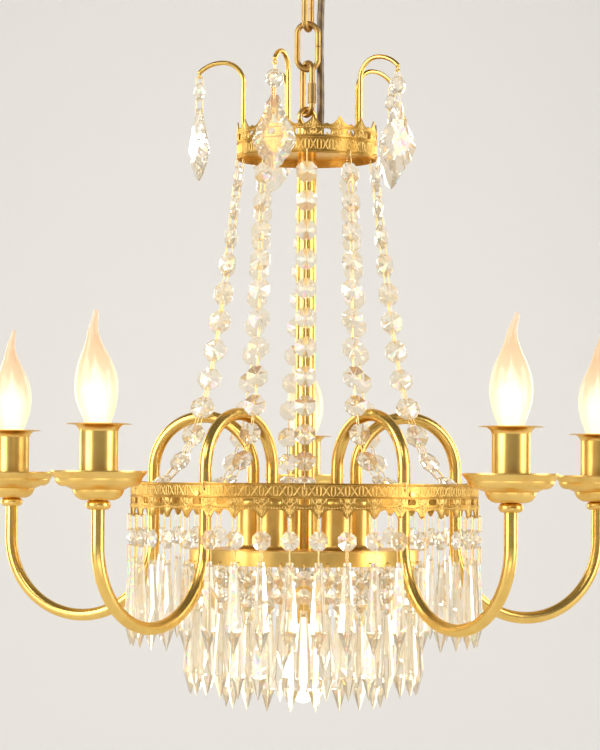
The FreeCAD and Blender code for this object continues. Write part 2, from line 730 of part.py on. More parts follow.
def bead_line(radius, z):
    """A half-round moulding round a strip, sunk to its middle in the strip's face."""
    return (radius, z - BEAD_LINE_R), (radius, z + BEAD_LINE_R, radius + BEAD_LINE_R, z)


def window(width, height, radius, bottom, depth):
    """A hole with rounded corners through a strip at +X."""
    corners = [(-width / 2, bottom), (width / 2, bottom), (width / 2, bottom + height), (-width / 2, bottom + height)]
    outline = rounded_edges([V(radius, side, z) for side, z in corners], WINDOW_CORNER_R, closed=True)
    return Part.Face(Part.Wire(outline)).extrude(V(depth, 0, 0))


def notch(half_outline, radius, level, depth):
    """A symmetric cut through a strip at +X, from half of its outline."""
    right = [V(radius, side, level + z) for side, z in half_outline]
    left = [V(radius, -side, level + z) for side, z in reversed(half_outline[:-1])]
    return Part.Face(Part.makePolygon(right + left + right[:1])).extrude(V(depth, 0, 0))


def crown_gallery():
    """The crown's stamped strip: a plain band with a crest of pointed palmettes."""
    inner = CROWN_R - CROWN_WALL
    top = crown_band_top + CROWN_CREST_HEIGHT
    strip = turned([
        (inner, crown_bottom), (CROWN_R, crown_bottom),
        *bead_line(CROWN_R, crown_bottom + 2 * BEAD_LINE_R),
        *bead_line(CROWN_R, crown_band_top - 2 * BEAD_LINE_R),
        (CROWN_R, top), (inner, top),
    ])
    pitch = 360.0 / CREST_COUNT
    start = inner - 1
    deep = CROWN_WALL + 3
    between = notch(CREST_NOTCH, start, crown_band_top, deep)
    opening = window(CREST_WINDOW_W, CREST_WINDOW_H, start, crown_band_top + 0.5, deep)
    cuts = []
    for k in range(CREST_COUNT):
        azimuth = CREST_TURN + (k + 0.5) * pitch
        cuts += [turned_to(between, azimuth), turned_to(opening, azimuth)]
    for azimuth in STRAND_AZIMUTHS:
        cuts.append(radial_pin(CRYSTAL_HOLE_R, start, CROWN_R + 2, azimuth, crown_hook_hole_z))
    return strip.cut(cuts)


def hook_tip():
    """The middle of a hook's tip eye, as its distance from the axis and its height."""
    turn = math.radians(HOOK_ARCH_ANGLE)
    reach = HOOK_BASE_R + HOOK_BEND_R + HOOK_ARCH_R * math.sin(turn)
    height = crown_plate_bottom + HOOK_RISE + HOOK_BEND_R - HOOK_ARCH_R * (1 - math.cos(turn))
    return reach, height - HOOK_WIRE_R - HOOK_EYE_R


def crown_hook(azimuth, facing):
    """A swan-neck rod with a small eye under its tip, turned to its pendant's facing."""
    turn = math.radians(HOOK_ARCH_ANGLE)
    foot = V(HOOK_BASE_R, 0, crown_plate_bottom)
    knee = foot + V(0, 0, HOOK_RISE)
    top = knee + V(HOOK_BEND_R, 0, HOOK_BEND_R)
    bend_middle = knee + V(HOOK_BEND_R * (1 - math.cos(math.pi / 4)), 0, HOOK_BEND_R * math.sin(math.pi / 4))
    arch_middle = top + V(HOOK_ARCH_R * math.sin(turn / 2), 0, HOOK_ARCH_R * (math.cos(turn / 2) - 1))
    tip = top + V(HOOK_ARCH_R * math.sin(turn), 0, HOOK_ARCH_R * (math.cos(turn) - 1))
    edges = [
        Part.LineSegment(foot, knee).toShape(),
        Part.Arc(knee, bend_middle, top).toShape(),
        Part.Arc(top, arch_middle, tip).toShape(),
    ]
    rod = turned_to(swept(edges, HOOK_WIRE_R), azimuth)
    tip_r, tip_z = hook_tip()
    eye = Part.makeTorus(HOOK_EYE_R, HOOK_EYE_WIRE_R, polar(tip_r, azimuth, tip_z), outward(facing))
    end_ball = Part.makeSphere(HOOK_WIRE_R, polar(tip_r, azimuth, tip.z))
    return rod.fuse([end_ball, eye]).removeSplitter()


def pendant(azimuth, facing):
    """A crown pendant in its hook's eye. Gives its two stones and its two wire links."""
    tip_r, tip_z = hook_tip()
    width = link_width(octagon_depth(OCTAGON_R))
    hole = octagon_hole(OCTAGON_R)
    z = tip_z - PENDANT_TOP_LINK
    wires = [wire_link(V(0, 0, tip_z), V(0, 0, z), V(1, 0, 0), width)]
    stones = [moved(octagon(OCTAGON_R), 0, 0, z - hole)]
    z -= 2 * hole
    wires.append(wire_link(V(0, 0, z), V(0, 0, z - PENDANT_LOW_LINK), V(1, 0, 0), width))
    z -= PENDANT_LOW_LINK
    stones.append(moved(pendant_stone(), 0, 0, z + PENDANT_HOLE_INSET - PENDANT_HEIGHT / 2))
    place = polar(tip_r, azimuth, 0)
    return [[moved(turned_to(shape, facing), place.x, place.y, 0) for shape in group] for group in (stones, wires)]


def hook_nuts():
    """The nuts that hold the hooks on the crown plate."""
    nut = hex_nut(HOOK_NUT_ACROSS_FLATS, HOOK_NUT_HEIGHT, HOOK_WIRE_R + RUNNING_GAP, crown_plate_top)
    return all_round(moved(nut, HOOK_BASE_R, 0, 0), HOOK_AZIMUTHS)


# ---- Stem, drum and centre lamp --------------------------------------------------------------


def central_rod():
    """The visible stem tube between the crown plate and the drum."""
    return disc(STEM_R, drum_top, crown_plate_bottom, STEM_R - STEM_WALL)


def tie_tube():
    """The threaded tube inside the stem, from the eye's boss down to the centre lamp."""
    top = crown_nut_top + EYE_BOSS_HEIGHT / 2 - SEAT_GAP
    return disc(THREAD_R, centre_rod_bottom, top, THREAD_BORE_R)


def drum():
    """The drum: a flat top with a low wall, drilled for the arms, the tube and the drops."""
    inner = DRUM_R - DRUM_WALL
    body = turned([
        (0.0, drum_top), (0.0, drum_top - DRUM_TOP_THICKNESS), (inner, drum_top - DRUM_TOP_THICKNESS),
        (inner, drum_bottom), (DRUM_R, drum_bottom), (DRUM_R, drum_top),
    ])
    holes = [disc(THREAD_R + RUNNING_GAP, drum_bottom, drum_top + 1)]
    for azimuth in ARM_AZIMUTHS:
        foot = polar(ARM_BASE_R, azimuth, drum_bottom)
        holes.append(Part.makeCylinder(THREAD_R + RUNNING_GAP, DRUM_HEIGHT + 1, foot))
    for azimuth in DRUM_DROP_AZIMUTHS:
        holes.append(radial_pin(CRYSTAL_HOLE_R, inner - 2, DRUM_R + 2, azimuth, drum_hook_z))
    return body.cut(holes)


def drum_cover():
    """The plate that closes the drum from below."""
    return disc(DRUM_R - DRUM_WALL - LINK_GAP, drum_cover_bottom, drum_cover_top, THREAD_R + RUNNING_GAP)


def inner_ring():
    """The hoop under the drum that carries the innermost drops."""
    half = INNER_RING_WALL / 2
    hoop = disc(INNER_RING_R + half, inner_ring_bottom, drum_cover_bottom, INNER_RING_R - half)
    holes = []
    for azimuth in INNER_DROP_AZIMUTHS:
        holes.append(radial_pin(CRYSTAL_HOLE_R, INNER_RING_R - 3, INNER_RING_R + 3, azimuth, inner_hook_z))
    return hoop.cut(holes)


def candle_cup(height, radius, flange_r, flare, wall, top_hole=0.0, shoulder=0.0):
    """A thin candle cover that stands on z = 0: plain or closed at the top, with a flared flange."""
    inner = radius - wall
    outline = [
        (inner, 0.0), (radius, 0.0), (radius, height - flare),
        (flange_r, height, radius + 0.22 * (flange_r - radius), height - 0.28 * flare),
        (flange_r - wall, height + 0.25 * wall),
        (inner, height - flare, inner + 0.24 * (flange_r - radius), height - 0.2 * flare),
    ]
    if top_hole:
        outline = [
            (top_hole, 0.0), (shoulder, 0.0), (radius, radius - shoulder, radius - 1.4, 1.4),
            *outline[2:5],
            (inner, height - flare, inner + 0.24 * (flange_r - radius), height - 0.2 * flare),
            (inner, radius - shoulder), (shoulder, wall, inner - 1.4, 1.4 + wall), (top_hole, wall),
        ]
    return turned(outline)


def inverted(shape, top):
    """The shape upside down, with its z = 0 brought to the height top."""
    copy = shape.copy()
    copy.rotate(ORIGIN, V(1, 0, 0), 180)
    copy.translate(V(0, 0, top))
    return copy


def base_cups():
    """The inverted cups round the arms' feet, which stand on the drum."""
    cup = candle_cup(BASE_CUP_HEIGHT, BASE_CUP_R, BASE_CUP_FLANGE_R, 4.0, CUP_WALL,
                     THREAD_R + SEAT_GAP, BASE_CUP_SHOULDER_R)
    foot = moved(inverted(cup, drum_top + BASE_CUP_HEIGHT + CUP_WALL), ARM_BASE_R, 0, 0)
    return all_round(foot, ARM_AZIMUTHS)


def centre_lamp_cup():
    """The cup of the centre lamp, held on the tube between two nuts."""
    cup = candle_cup(CENTRE_CUP_LENGTH, COVER_R, COVER_R + 3.0, 3.0, COVER_WALL,
                     THREAD_R + RUNNING_GAP, BASE_CUP_SHOULDER_R)
    return inverted(cup, centre_cup_top)


def lamp_holder():
    """The bulb's screw holder, standing on z = 0, with the tube's hole in its floor."""
    return turned([
        (THREAD_R + RUNNING_GAP, 0.0), (HOLDER_R, 0.0), (HOLDER_R, HOLDER_HEIGHT - 1.5),
        (HOLDER_R - 1.5, HOLDER_HEIGHT), (BULB_CAP_R + SEAT_GAP, HOLDER_HEIGHT),
        (BULB_CAP_R + SEAT_GAP, HOLDER_FLOOR), (THREAD_R + RUNNING_GAP, HOLDER_FLOOR),
    ])


# ---- Arms and candles ------------------------------------------------------------------------


def arm_edges():
    """The arm's middle line along +X, from its foot in the drum to its threaded end in the candle."""
    inner_x, outer_x = ARM_BASE_R, arm_outer_r
    tail = drum_top - ARM_TAIL
    return [
        Part.LineSegment(V(inner_x, 0, tail), V(inner_x, 0, arch_z)).toShape(),
        Part.Arc(V(inner_x, 0, arch_z), V(inner_x + ARM_ARCH_R, 0, arch_z + ARM_ARCH_R),
                 V(outer_x, 0, arch_z)).toShape(),
        Part.LineSegment(V(outer_x, 0, arch_z), V(outer_x, 0, sweep_z)).toShape(),
        Part.Arc(V(outer_x, 0, sweep_z), V(outer_x + ARM_SWEEP_R, 0, sweep_z - ARM_SWEEP_R),
                 V(candle_r, 0, sweep_z)).toShape(),
        Part.LineSegment(V(candle_r, 0, sweep_z), V(candle_r, 0, candle_nut_top - SEAT_GAP)).toShape(),
    ]


def arm():
    """One arm: a bent tube, drilled on its outer leg for the ring's screw."""
    tube = swept(arm_edges(), THREAD_R, THREAD_BORE_R)
    hole = radial_pin(RING_SCREW_R + RUNNING_GAP, arm_outer_r, arm_outer_r + THREAD_R + 1, 90.0,
                      ring_top - RING_SCREW_DROP)
    return tube.cut(hole)


def collar():
    """The turned bead under the drip pan."""
    bore_r = THREAD_R + RUNNING_GAP
    bulge = COLLAR_R - 3.7
    return turned([
        (bore_r, 0.0), (bulge, 0.0), (bulge, COLLAR_HEIGHT, COLLAR_R, COLLAR_HEIGHT / 2),
        (bore_r, COLLAR_HEIGHT),
    ])


def drip_pan():
    """The stepped dish under the candle, standing on z = 0."""
    top = PAN_HEIGHT - PAN_WALL
    outline = [
        (THREAD_R + RUNNING_GAP, 0.0), (0.3 * PAN_R, 0.0),
        (0.53 * PAN_R, 0.38 * top, 0.455 * PAN_R, 0.12 * top),
        (0.68 * PAN_R, 0.5 * top), (0.9 * PAN_R, 0.78 * top, 0.83 * PAN_R, 0.56 * top), (PAN_R, top),
    ]
    return shell_of(outline, PAN_WALL)


def candle_seat():
    """The disc and boss inside the pan that the candle cover stands on, from the pan's floor."""
    bore_r = THREAD_R + RUNNING_GAP
    low = SEAT_HEIGHT - PAN_WALL
    high = low + SEAT_THICKNESS
    return turned([
        (bore_r, 0.0), (SEAT_BOSS_R, 0.0), (SEAT_BOSS_R, low), (SEAT_R, low), (SEAT_R, high), (bore_r, high),
    ])


def bulb_cap():
    """A bulb's screw cap with its end contact at z = 0."""
    return turned([
        (0.0, 0.0), (2.2, 0.0), (5.0, 3.0), (BULB_CAP_R, 3.0), (BULB_CAP_R, BULB_CAP_LENGTH),
        (0.0, BULB_CAP_LENGTH),
    ])


def candle_bulb():
    """A bent-tip flame bulb on its screw cap, with the cap's lower end at z = 0."""
    rings = (
        (0.0, BULB_SHOULDER_R, 0.0), (0.13, BULB_NECK_R, 0.0), (0.26, 0.87 * BULB_R, 0.0),
        (BULB_BULGE_HEIGHT / BULB_HEIGHT, BULB_R, 0.0), (0.52, 0.85 * BULB_R, -0.05), (0.63, 0.56 * BULB_R, -0.2),
        (0.73, 0.34 * BULB_R, -0.32), (0.82, 0.23 * BULB_R, -0.3), (0.9, 0.17 * BULB_R, 0.05),
        (0.96, 0.12 * BULB_R, 0.5), (1.0, 0.07 * BULB_R, 1.0),
    )
    circles = []
    for share, radius, lean in rings:
        middle = V(lean * BULB_TAIL_BEND, 0, BULB_CAP_LENGTH + share * BULB_HEIGHT)
        circles.append(Part.Wire(Part.makeCircle(radius, middle, UP)))
    glass = Part.makeLoft(circles, True, False)
    return Part.makeCompound([bulb_cap(), glass])


def centre_bulb():
    """A round-ended bulb on the same cap, with the cap's end at z = 0, made upright."""
    low = BULB_CAP_LENGTH
    top = low + CENTRE_BULB_LENGTH
    end_z = top - CENTRE_BULB_END_R
    cos30, sin30, cos15, sin15 = [f(math.radians(a)) for a in (30, 15) for f in (math.cos, math.sin)]
    join_r, join_z = CENTRE_BULB_END_R * cos30, end_z + CENTRE_BULB_END_R * sin30
    side_r = (BULB_R - join_r) / (1 - cos30)
    wide = join_z - side_r * sin30
    glass = turned([
        (0.0, low), (BULB_SHOULDER_R, low),
        (BULB_R, wide, 0.82 * BULB_R, low + 0.38 * (wide - low)),
        (join_r, join_z, BULB_R - side_r * (1 - cos15), wide + side_r * sin15),
        (0.0, top, CENTRE_BULB_END_R * sin30, end_z + CENTRE_BULB_END_R * cos30),
    ])
    return Part.makeCompound([bulb_cap(), glass])


# ---- Main ring -------------------------------------------------------------------------------


def lace_azimuths():
    """The middle of each lace motif: none lies over an arm."""
    return [(k + 0.5) * lace_pitch for k in range(LACE_COUNT)]


def hook_side(azimuth):
    """How far aside a strand hooks on to the ring: strands that share an arm's azimuth pass beside it."""
    return -STRAND_SIDE_END * math.copysign(1, math.sin(math.radians(azimuth + 1))) * meets_arm(azimuth)


def meets_arm(azimuth):
    """Does a strand hang at an arm's azimuth?"""
    return any(abs(azimuth - arm_azimuth) < 1.0 for arm_azimuth in ARM_AZIMUTHS)


def ring_gallery():
    """The ring's stamped strip: a moulded band with a lace edge below it."""
    inner = RING_R - RING_WALL
    strip = turned([
        (inner, lace_bottom), (RING_R, lace_bottom),
        *bead_line(RING_R, ring_band_bottom),
        *bead_line(RING_R, ring_top - 2 * BEAD_LINE_R),
        (RING_R, ring_top), (inner, ring_top),
    ])
    start = inner - 1
    deep = RING_WALL + 4
    arch = notch(LACE_ARCH, start, lace_bottom, deep)
    under_moulding = ring_band_bottom - BEAD_LINE_R - 0.2
    opening = window(LACE_WINDOW_W, LACE_WINDOW_H, start, under_moulding - LACE_WINDOW_H, deep)
    cuts = []
    for azimuth in lace_azimuths():
        cuts += [turned_to(arch, azimuth + lace_pitch / 2), turned_to(opening, azimuth + lace_pitch / 2)]
        cuts.append(radial_pin(CRYSTAL_HOLE_R, start, RING_R + 3, azimuth, lace_hook_z))
    for azimuth in ARM_AZIMUTHS:
        cuts.append(radial_pin(RING_SCREW_R + RUNNING_GAP, start, RING_R + 3, azimuth, ring_top - RING_SCREW_DROP))
    for azimuth in STRAND_AZIMUTHS:
        cuts.append(radial_pin(RING_HOOK_HOLE_R, start, RING_R + 3, azimuth, ring_top - RING_HOOK_DROP,
                               hook_side(azimuth)))
    return strip.cut(cuts)


def ring_fixings():
    """The spacers between the arms and the ring, and the screws through them."""
    z = ring_top - RING_SCREW_DROP
    inner = RING_R - RING_WALL
    start = arm_outer_r + THREAD_R + SEAT_GAP
    flat_end = math.sqrt(inner ** 2 - SPACER_R ** 2) - SEAT_GAP
    spacer = radial_pin(SPACER_R, start, flat_end, 90.0, z)
    spacer = spacer.cut(radial_pin(RING_SCREW_R + RUNNING_GAP, start - 1, flat_end + 1, 90.0, z))
    head_start = RING_R + SEAT_GAP
    shank = radial_pin(RING_SCREW_R, arm_outer_r + THREAD_BORE_R - 0.5, head_start + 0.2, 90.0, z)
    head = radial_pin(RING_SCREW_HEAD_R, head_start, head_start + RING_SCREW_HEAD, 90.0, z)
    return all_round(spacer, ARM_AZIMUTHS) + all_round(shank.fuse(head).removeSplitter(), ARM_AZIMUTHS)


# ---- Strands ---------------------------------------------------------------------------------


def strand_curve(azimuth):
    """The strand's fall from crown to ring as a Bezier curve's four poles, each (radius, side, z)."""
    start_r, start_z = CROWN_R - CROWN_WALL / 2, crown_hook_hole_z
    end_r, end_z = RING_R - RING_WALL / 2, ring_top - RING_HOOK_DROP
    run, fall = end_r - start_r, start_z - end_z
    side_end = hook_side(azimuth)
    side_pole = STRAND_SIDESTEP * side_end / STRAND_SIDE_END
    return (
        V(start_r, 0, start_z),
        V(start_r + STRAND_UPPER_OUT * run, 0, start_z - STRAND_UPPER_DOWN * fall),
        V(end_r - STRAND_LOWER_IN * run, side_pole, end_z),
        V(end_r, side_end, end_z),
    )


def strand_turn(azimuth):
    """How far a bead of that strand would turn to face straight to the front or the back."""
    return (azimuth + 90.0) % 180.0 - 90.0


def strand(azimuth):
    """One strand of beads. Gives its beads and its wire links."""
    poles = strand_curve(azimuth)
    curve = Part.BezierCurve()
    curve.setPoles(list(poles))
    line = curve.toShape()
    hole = octagon_hole(STRAND_OCTAGON_R)
    width = link_width(octagon_depth(STRAND_OCTAGON_R))
    stone = octagon(STRAND_OCTAGON_R)
    beads, wires = [], []
    last_hole, last_across = poles[0], V(1, 0, 0)
    for index in range(STRAND_BEADS):
        parameter = line.getParameterByLength(STRAND_FIRST + index * STRAND_PITCH)
        middle, along = line.valueAt(parameter), line.tangentAt(parameter)
        sideways = along.cross(V(1, 0, 0)) if abs(along.x) < 0.5 else along.cross(UP) * -1
        sideways.normalize()
        facing = sideways.cross(along).normalize()
        if facing.x < 0:
            facing = facing * -1
        facing = FreeCAD.Rotation(along, STRAND_TURNS[index] * strand_turn(azimuth)).multVec(facing)
        bead = stone.copy()
        bead.Placement = FreeCAD.Placement(middle, FreeCAD.Rotation(facing, ORIGIN, along * -1, "XZY"))
        beads.append(bead)
        tilt = last_across.getAngle(facing) / 2
        ease = octagon_depth(STRAND_OCTAGON_R) / 2 * math.sin(tilt)
        wires.append(wire_link(last_hole, middle - along * hole, last_across + facing, width, ease))
        last_hole, last_across = middle + along * hole, facing
    wires.append(ring_hook(last_hole, last_across, poles[3], width))
    return [[turned_to(shape, azimuth) for shape in group] for group in (beads, wires)]


def ring_hook(start, across, end, width):
    """The strand's last link: through the bead, then over the ring's top edge and through its hole."""
    level = V(end.x - start.x, end.y - start.y, 0).normalize()
    upright = (level * across.dot(level) + UP * across.z).normalize()
    rise = V(0, 0, RING_HOOK_DROP + WIRE_R + LINK_GAP)
    outside = level * (RING_WALL / 2 + WIRE_BEND_R + WIRE_SLACK)
    half = upright * (width / 2)
    corners = [start - half, end + outside, end + outside + rise, start + half]
    return swept(rounded_edges(corners, WIRE_BEND_R, True), WIRE_R)


# ---- The whole lamp --------------------------------------------------------------------------


def ceiling_nodes():
    save("ceiling_bracket", ceiling_bracket())
    save("ceiling_tube", ceiling_tube())
    save("canopy", canopy())
    save("canopy_loop", canopy_loop())
    save("terminal_block", terminal_block())
    save("cord_grommet", cord_grommet())
    save("bracket_nut", tube_nut(-BRACKET_THICKNESS - NUT_HEIGHT))


def chain_nodes():
    save("chain_link_upper", chain_link(upper_link_top, 90.0 - UPPER_LINK_TWIST))
    save("chain_link_lower", chain_link(lower_link_top, 0.0))
    save("quick_link", quick_link())
    save("quick_link_sleeve", quick_link_sleeve())
    save("power_cord", power_cord())
    save("top_eye", top_eye())


def crown_nodes():
    save("crown_plate", crown_plate())
    save("crown_gallery", crown_gallery())
    save("crown_hooks", *[crown_hook(a, f) for a, f in zip(HOOK_AZIMUTHS, HOOK_FACINGS)])
    save("hook_nuts", *hook_nuts())
    for number, (azimuth, facing) in enumerate(zip(HOOK_AZIMUTHS, HOOK_FACINGS), 1):
        stones, wires = pendant(azimuth, facing)
        save("pendant_crystals_%d" % number, *stones)
        save("pendant_links_%d" % number, *wires)


def stem_nodes():
    save("central_rod", central_rod())
    save("tie_tube", tie_tube())
    save("drum", drum())
    save("drum_cover", drum_cover())
    save("inner_ring", inner_ring())
    save("centre_lamp_cup", centre_lamp_cup())
    holder_z = centre_cup_top - CUP_WALL - NUT_HEIGHT - HOLDER_HEIGHT
    save("centre_bulb", inverted(centre_bulb(), holder_z + BULB_CAP_LENGTH))
    return inverted(lamp_holder(), holder_z + HOLDER_HEIGHT)


def arm_nodes(centre_holder):
    for number, azimuth in enumerate(ARM_AZIMUTHS, 1):
        save("arm_%d" % number, turned_to(arm(), azimuth))
        bulb_place = polar(candle_r, azimuth, cap_bottom)
        save("candle_bulb_%d" % number, moved(candle_bulb(), bulb_place.x, bulb_place.y, bulb_place.z))
    cover = candle_cup(COVER_HEIGHT, COVER_R, COVER_FLANGE_R, COVER_FLARE_HEIGHT, COVER_WALL)
    save("arm_collars", *all_round(moved(collar(), candle_r, 0, collar_bottom), ARM_AZIMUTHS))
    save("drip_pans", *all_round(moved(drip_pan(), candle_r, 0, pan_bottom), ARM_AZIMUTHS))
    save("candle_seats", *all_round(moved(candle_seat(), candle_r, 0, pan_floor), ARM_AZIMUTHS))
    save("candle_covers", *all_round(moved(cover, candle_r, 0, seat_top), ARM_AZIMUTHS))
    holders = all_round(moved(lamp_holder(), candle_r, 0, candle_nut_top), ARM_AZIMUTHS)
    save("lamp_holders", *holders, centre_holder)
    save("base_cups", *base_cups())
    nuts = all_round(moved(tube_nut(seat_top), candle_r, 0, 0), ARM_AZIMUTHS)
    nuts += all_round(moved(tube_nut(drum_top - DRUM_TOP_THICKNESS - NUT_HEIGHT), ARM_BASE_R, 0, 0), ARM_AZIMUTHS)
    nuts += [tube_nut(crown_plate_top), tube_nut(drum_cover_bottom - NUT_HEIGHT)]
    nuts.append(tube_nut(drum_top - DRUM_TOP_THICKNESS - NUT_HEIGHT))
    nuts += [tube_nut(centre_cup_top), tube_nut(centre_cup_top - CUP_WALL - NUT_HEIGHT)]
    save("tube_nuts", *nuts)


def crystal_nodes():
    save("ring_gallery", ring_gallery())
    save("ring_fixings", *ring_fixings())
    strands = [strand(azimuth) for azimuth in STRAND_AZIMUTHS]
    ring_drops = drops_all_round(
        drop(RING_R - RING_WALL / 2, lace_hook_z, RING_DROP_LINKS, OCTAGON_R), lace_azimuths())
    drum_drops = drops_all_round(
        drop(DRUM_R - DRUM_WALL / 2, drum_hook_z, DRUM_DROP_LINKS, SMALL_OCTAGON_R), DRUM_DROP_AZIMUTHS)
    inner_drops = drops_all_round(
        drop(INNER_RING_R, inner_hook_z, INNER_DROP_LINKS, SMALL_OCTAGON_R), INNER_DROP_AZIMUTHS)
    save("strand_octagons", *[bead for beads, _ in strands for bead in beads])
    save("strand_links", *[wire for _, wires in strands for wire in wires])
    save("drop_octagons", *ring_drops[0], *drum_drops[0], *inner_drops[0])
    save("ring_prisms", *ring_drops[1])
    save("drum_prisms", *drum_drops[1])
    save("inner_prisms", *inner_drops[1])
    save("drop_links", *ring_drops[2], *drum_drops[2], *inner_drops[2])


os.makedirs("parts", exist_ok=True)
ceiling_nodes()
chain_nodes()
crown_nodes()
arm_nodes(stem_nodes())
crystal_nodes()
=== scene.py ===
"""Looks of the crystal chandelier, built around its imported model.

Metres, +Z up, in the model's own frame: z = 0 is the ceiling. Azimuth 0 is the front (-Y), 90 the right (+X).
"""
import math

import bmesh
import bpy
from mathutils import Matrix, Vector


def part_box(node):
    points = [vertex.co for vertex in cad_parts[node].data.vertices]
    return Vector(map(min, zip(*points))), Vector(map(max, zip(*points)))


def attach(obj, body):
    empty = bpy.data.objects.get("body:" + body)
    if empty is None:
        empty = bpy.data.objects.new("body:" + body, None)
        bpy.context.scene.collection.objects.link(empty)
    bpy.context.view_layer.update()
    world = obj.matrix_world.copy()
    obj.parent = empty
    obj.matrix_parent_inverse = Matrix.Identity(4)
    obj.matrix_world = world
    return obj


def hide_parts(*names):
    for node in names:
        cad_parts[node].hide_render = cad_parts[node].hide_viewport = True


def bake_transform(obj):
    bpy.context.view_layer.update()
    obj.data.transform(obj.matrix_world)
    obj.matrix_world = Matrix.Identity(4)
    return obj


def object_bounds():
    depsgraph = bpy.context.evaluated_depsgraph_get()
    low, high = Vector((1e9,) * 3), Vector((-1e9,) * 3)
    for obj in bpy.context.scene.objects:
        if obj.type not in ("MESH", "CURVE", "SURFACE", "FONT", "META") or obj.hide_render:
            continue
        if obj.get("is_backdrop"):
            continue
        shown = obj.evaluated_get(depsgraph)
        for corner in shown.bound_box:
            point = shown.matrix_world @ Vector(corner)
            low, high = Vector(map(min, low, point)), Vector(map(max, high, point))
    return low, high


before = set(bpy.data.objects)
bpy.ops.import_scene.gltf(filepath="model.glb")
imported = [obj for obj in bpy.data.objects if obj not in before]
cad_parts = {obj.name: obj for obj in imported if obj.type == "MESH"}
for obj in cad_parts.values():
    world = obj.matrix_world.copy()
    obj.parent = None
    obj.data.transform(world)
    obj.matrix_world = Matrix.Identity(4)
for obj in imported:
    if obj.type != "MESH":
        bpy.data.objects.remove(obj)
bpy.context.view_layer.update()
MM = 0.001

# ---- Driving values --------------------------------------------------------------------------

# Camera: level with the main ring, so the ring is seen edge on
CAMERA_DISTANCE = 2.425
CAMERA_PITCH = 2.25
CAMERA_YAW = 0.11
CAMERA_ROLL = 0.4
SENSOR_WIDTH = 36.0
LONG_SIDE_PIXELS = 750
FOCAL_PIXELS = 2800
HORIZON_ABOVE_DRUM = 55.2 * MM

# Power cord: the route of its solid (mm), and where it is split in two
CORD_DIAMETER = 6.6 * MM
CORD_ROUTE = (
    (13.0, 14.0, -44.0),
    (13.0, 14.0, -62.0),
    (11.2, 10.6, -95.0),
    (10.9, 9.4, -135.0),
    (11.9, 10.0, -172.0),
    (11.5, 11.2, -204.0),
    (11.5, 11.2, -219.2),
)
CORD_SPLIT_Z = -97.0 * MM

# Arms and candles
ARM_AZIMUTHS = (36.0, 108.0, 180.0, 252.0, 324.0)
DRIP_PAN_R = 38.4 * MM
BULB_CAP = 21.0 * MM
BULB_R = 17.4               # of the glass where it is fullest (mm)
BULB_LEANS = (              # how far each bulb's bulge, waist and tip are aside of its cup (mm, to the right)
    (0.0, 0.0, 4.3),
    (0.0, 0.2, 3.8),
    (0.0, -0.6, 2.0),
    (-0.6, -2.4, 0.4),
    (-2.4, -5.4, -3.2),
)
BULB_SKIN = (               # the glass's radius (mm) at shares of its height
    (0.0, 7.5), (0.06, 7.9), (0.12, 9.2), (0.17, 11.0), (0.22, 13.2), (0.27, 15.0), (0.33, 16.6), (0.4, BULB_R),
    (0.47, 17.1), (0.53, 16.0), (0.59, 14.1), (0.645, 11.6), (0.7, 8.9), (0.75, 6.7), (0.8, 5.0), (0.85, 3.9),
    (0.9, 3.1), (0.94, 2.6), (0.97, 2.3), (0.988, 1.6), (0.997, 0.8), (1.0, 0.25),
)

# Stamped strips: leaf motifs joined by beaded swags, and a band of ovals and crosses
MOULDING_R = 0.75 * MM      # of the half-round mouldings, which stand out furthest on a strip
STROKE_R = 0.66 * MM
STROKE_SUNK = 0.3 * MM      # how far a stroke's middle is inside the strip's face
SWAG_BEADS = 8
SWAG_BEAD_R = 0.85 * MM
ROSETTE_R = 1.2 * MM
PETALS = 6
PETAL_REACH = 1.25          # of the petals from a rosette's middle (mm)
PETAL_SUNK = 0.2 * MM

MOTIFS_ON_RING = 40
OVALS_ON_RING = 80
RING_BAND = 11.8 * MM
RING_BAND_MARGINS = (1.5 * MM, 2.3 * MM)    # below and above the ovals
RING_SWAG = (7.6, -1.0, 3.6)                # level, sag and start aside of a motif (mm)

CRESTS_ON_CROWN = 16
FIRST_CREST = 5.0                           # degrees from the front's middle
OVALS_ON_CROWN = 36
CROWN_BAND = 15.0 * MM
CROWN_BAND_MARGINS = (3.2 * MM, 3.2 * MM)
CROWN_SWAG = (7.2, 0.4, 3.8)

# Drum: drop below its top and radius of the rolled edge and of the dark seam (mm)
DRUM_ROLL = (0.9, 0.75)
DRUM_SEAM = (2.5, 0.3)
DRUM_LINES_SUNK = 0.5 * MM

# Crystals
PENDANT_TABLE_RISE = 0.8 * MM
PENDANT_BEVEL_RISE = 0.15 * MM
LEAST_BEVEL_AREA = 9e-6
LEAST_FLAT_EDGE = 1.2 * MM

# Floor and backdrop, which the eye, the brass and the crystals see paler by the lift than the lamps make them
STAGE_COLOUR = (0.62, 0.61, 0.59)
STAGE_LIFT = 0.3
STAGE_REACH = 30.0
FLOOR_BELOW_LAMP = 0.42
BACKDROP_Y = 2.2
BACKDROP_HEIGHT = 4.2
COVE_R = 0.7

# Soft studio light: place, size, power (W) and colour of each lamp, all turned to one point
LAMP_TARGET = (0.0, 0.0, -0.45)
LAMPS = {
    "key": ((-2.0, -1.25, 0.15), (1.5, 2.0), 50.0, (1.0, 0.96, 0.9)),
    "fill": ((2.1, -0.75, -0.1), (1.1, 1.8), 32.0, (1.0, 0.96, 0.9)),
    "front": ((-0.5, -2.6, 0.9), (0.7, 0.5), 9.0, (1.0, 0.97, 0.93)),
    "left_strip": ((-1.5, 1.2, -0.3), (0.3, 1.5), 12.0, (1.0, 1.0, 1.0)),
    "right_strip": ((1.4, 1.3, -0.2), (0.3, 1.5), 12.0, (1.0, 1.0, 1.0)),
    "low": ((0.2, -1.6, -1.15), (1.2, 0.35), 5.0, (1.0, 0.93, 0.84)),
}
WORLD_COLOUR = (0.62, 0.58, 0.52)
WORLD_STRENGTH = 0.3


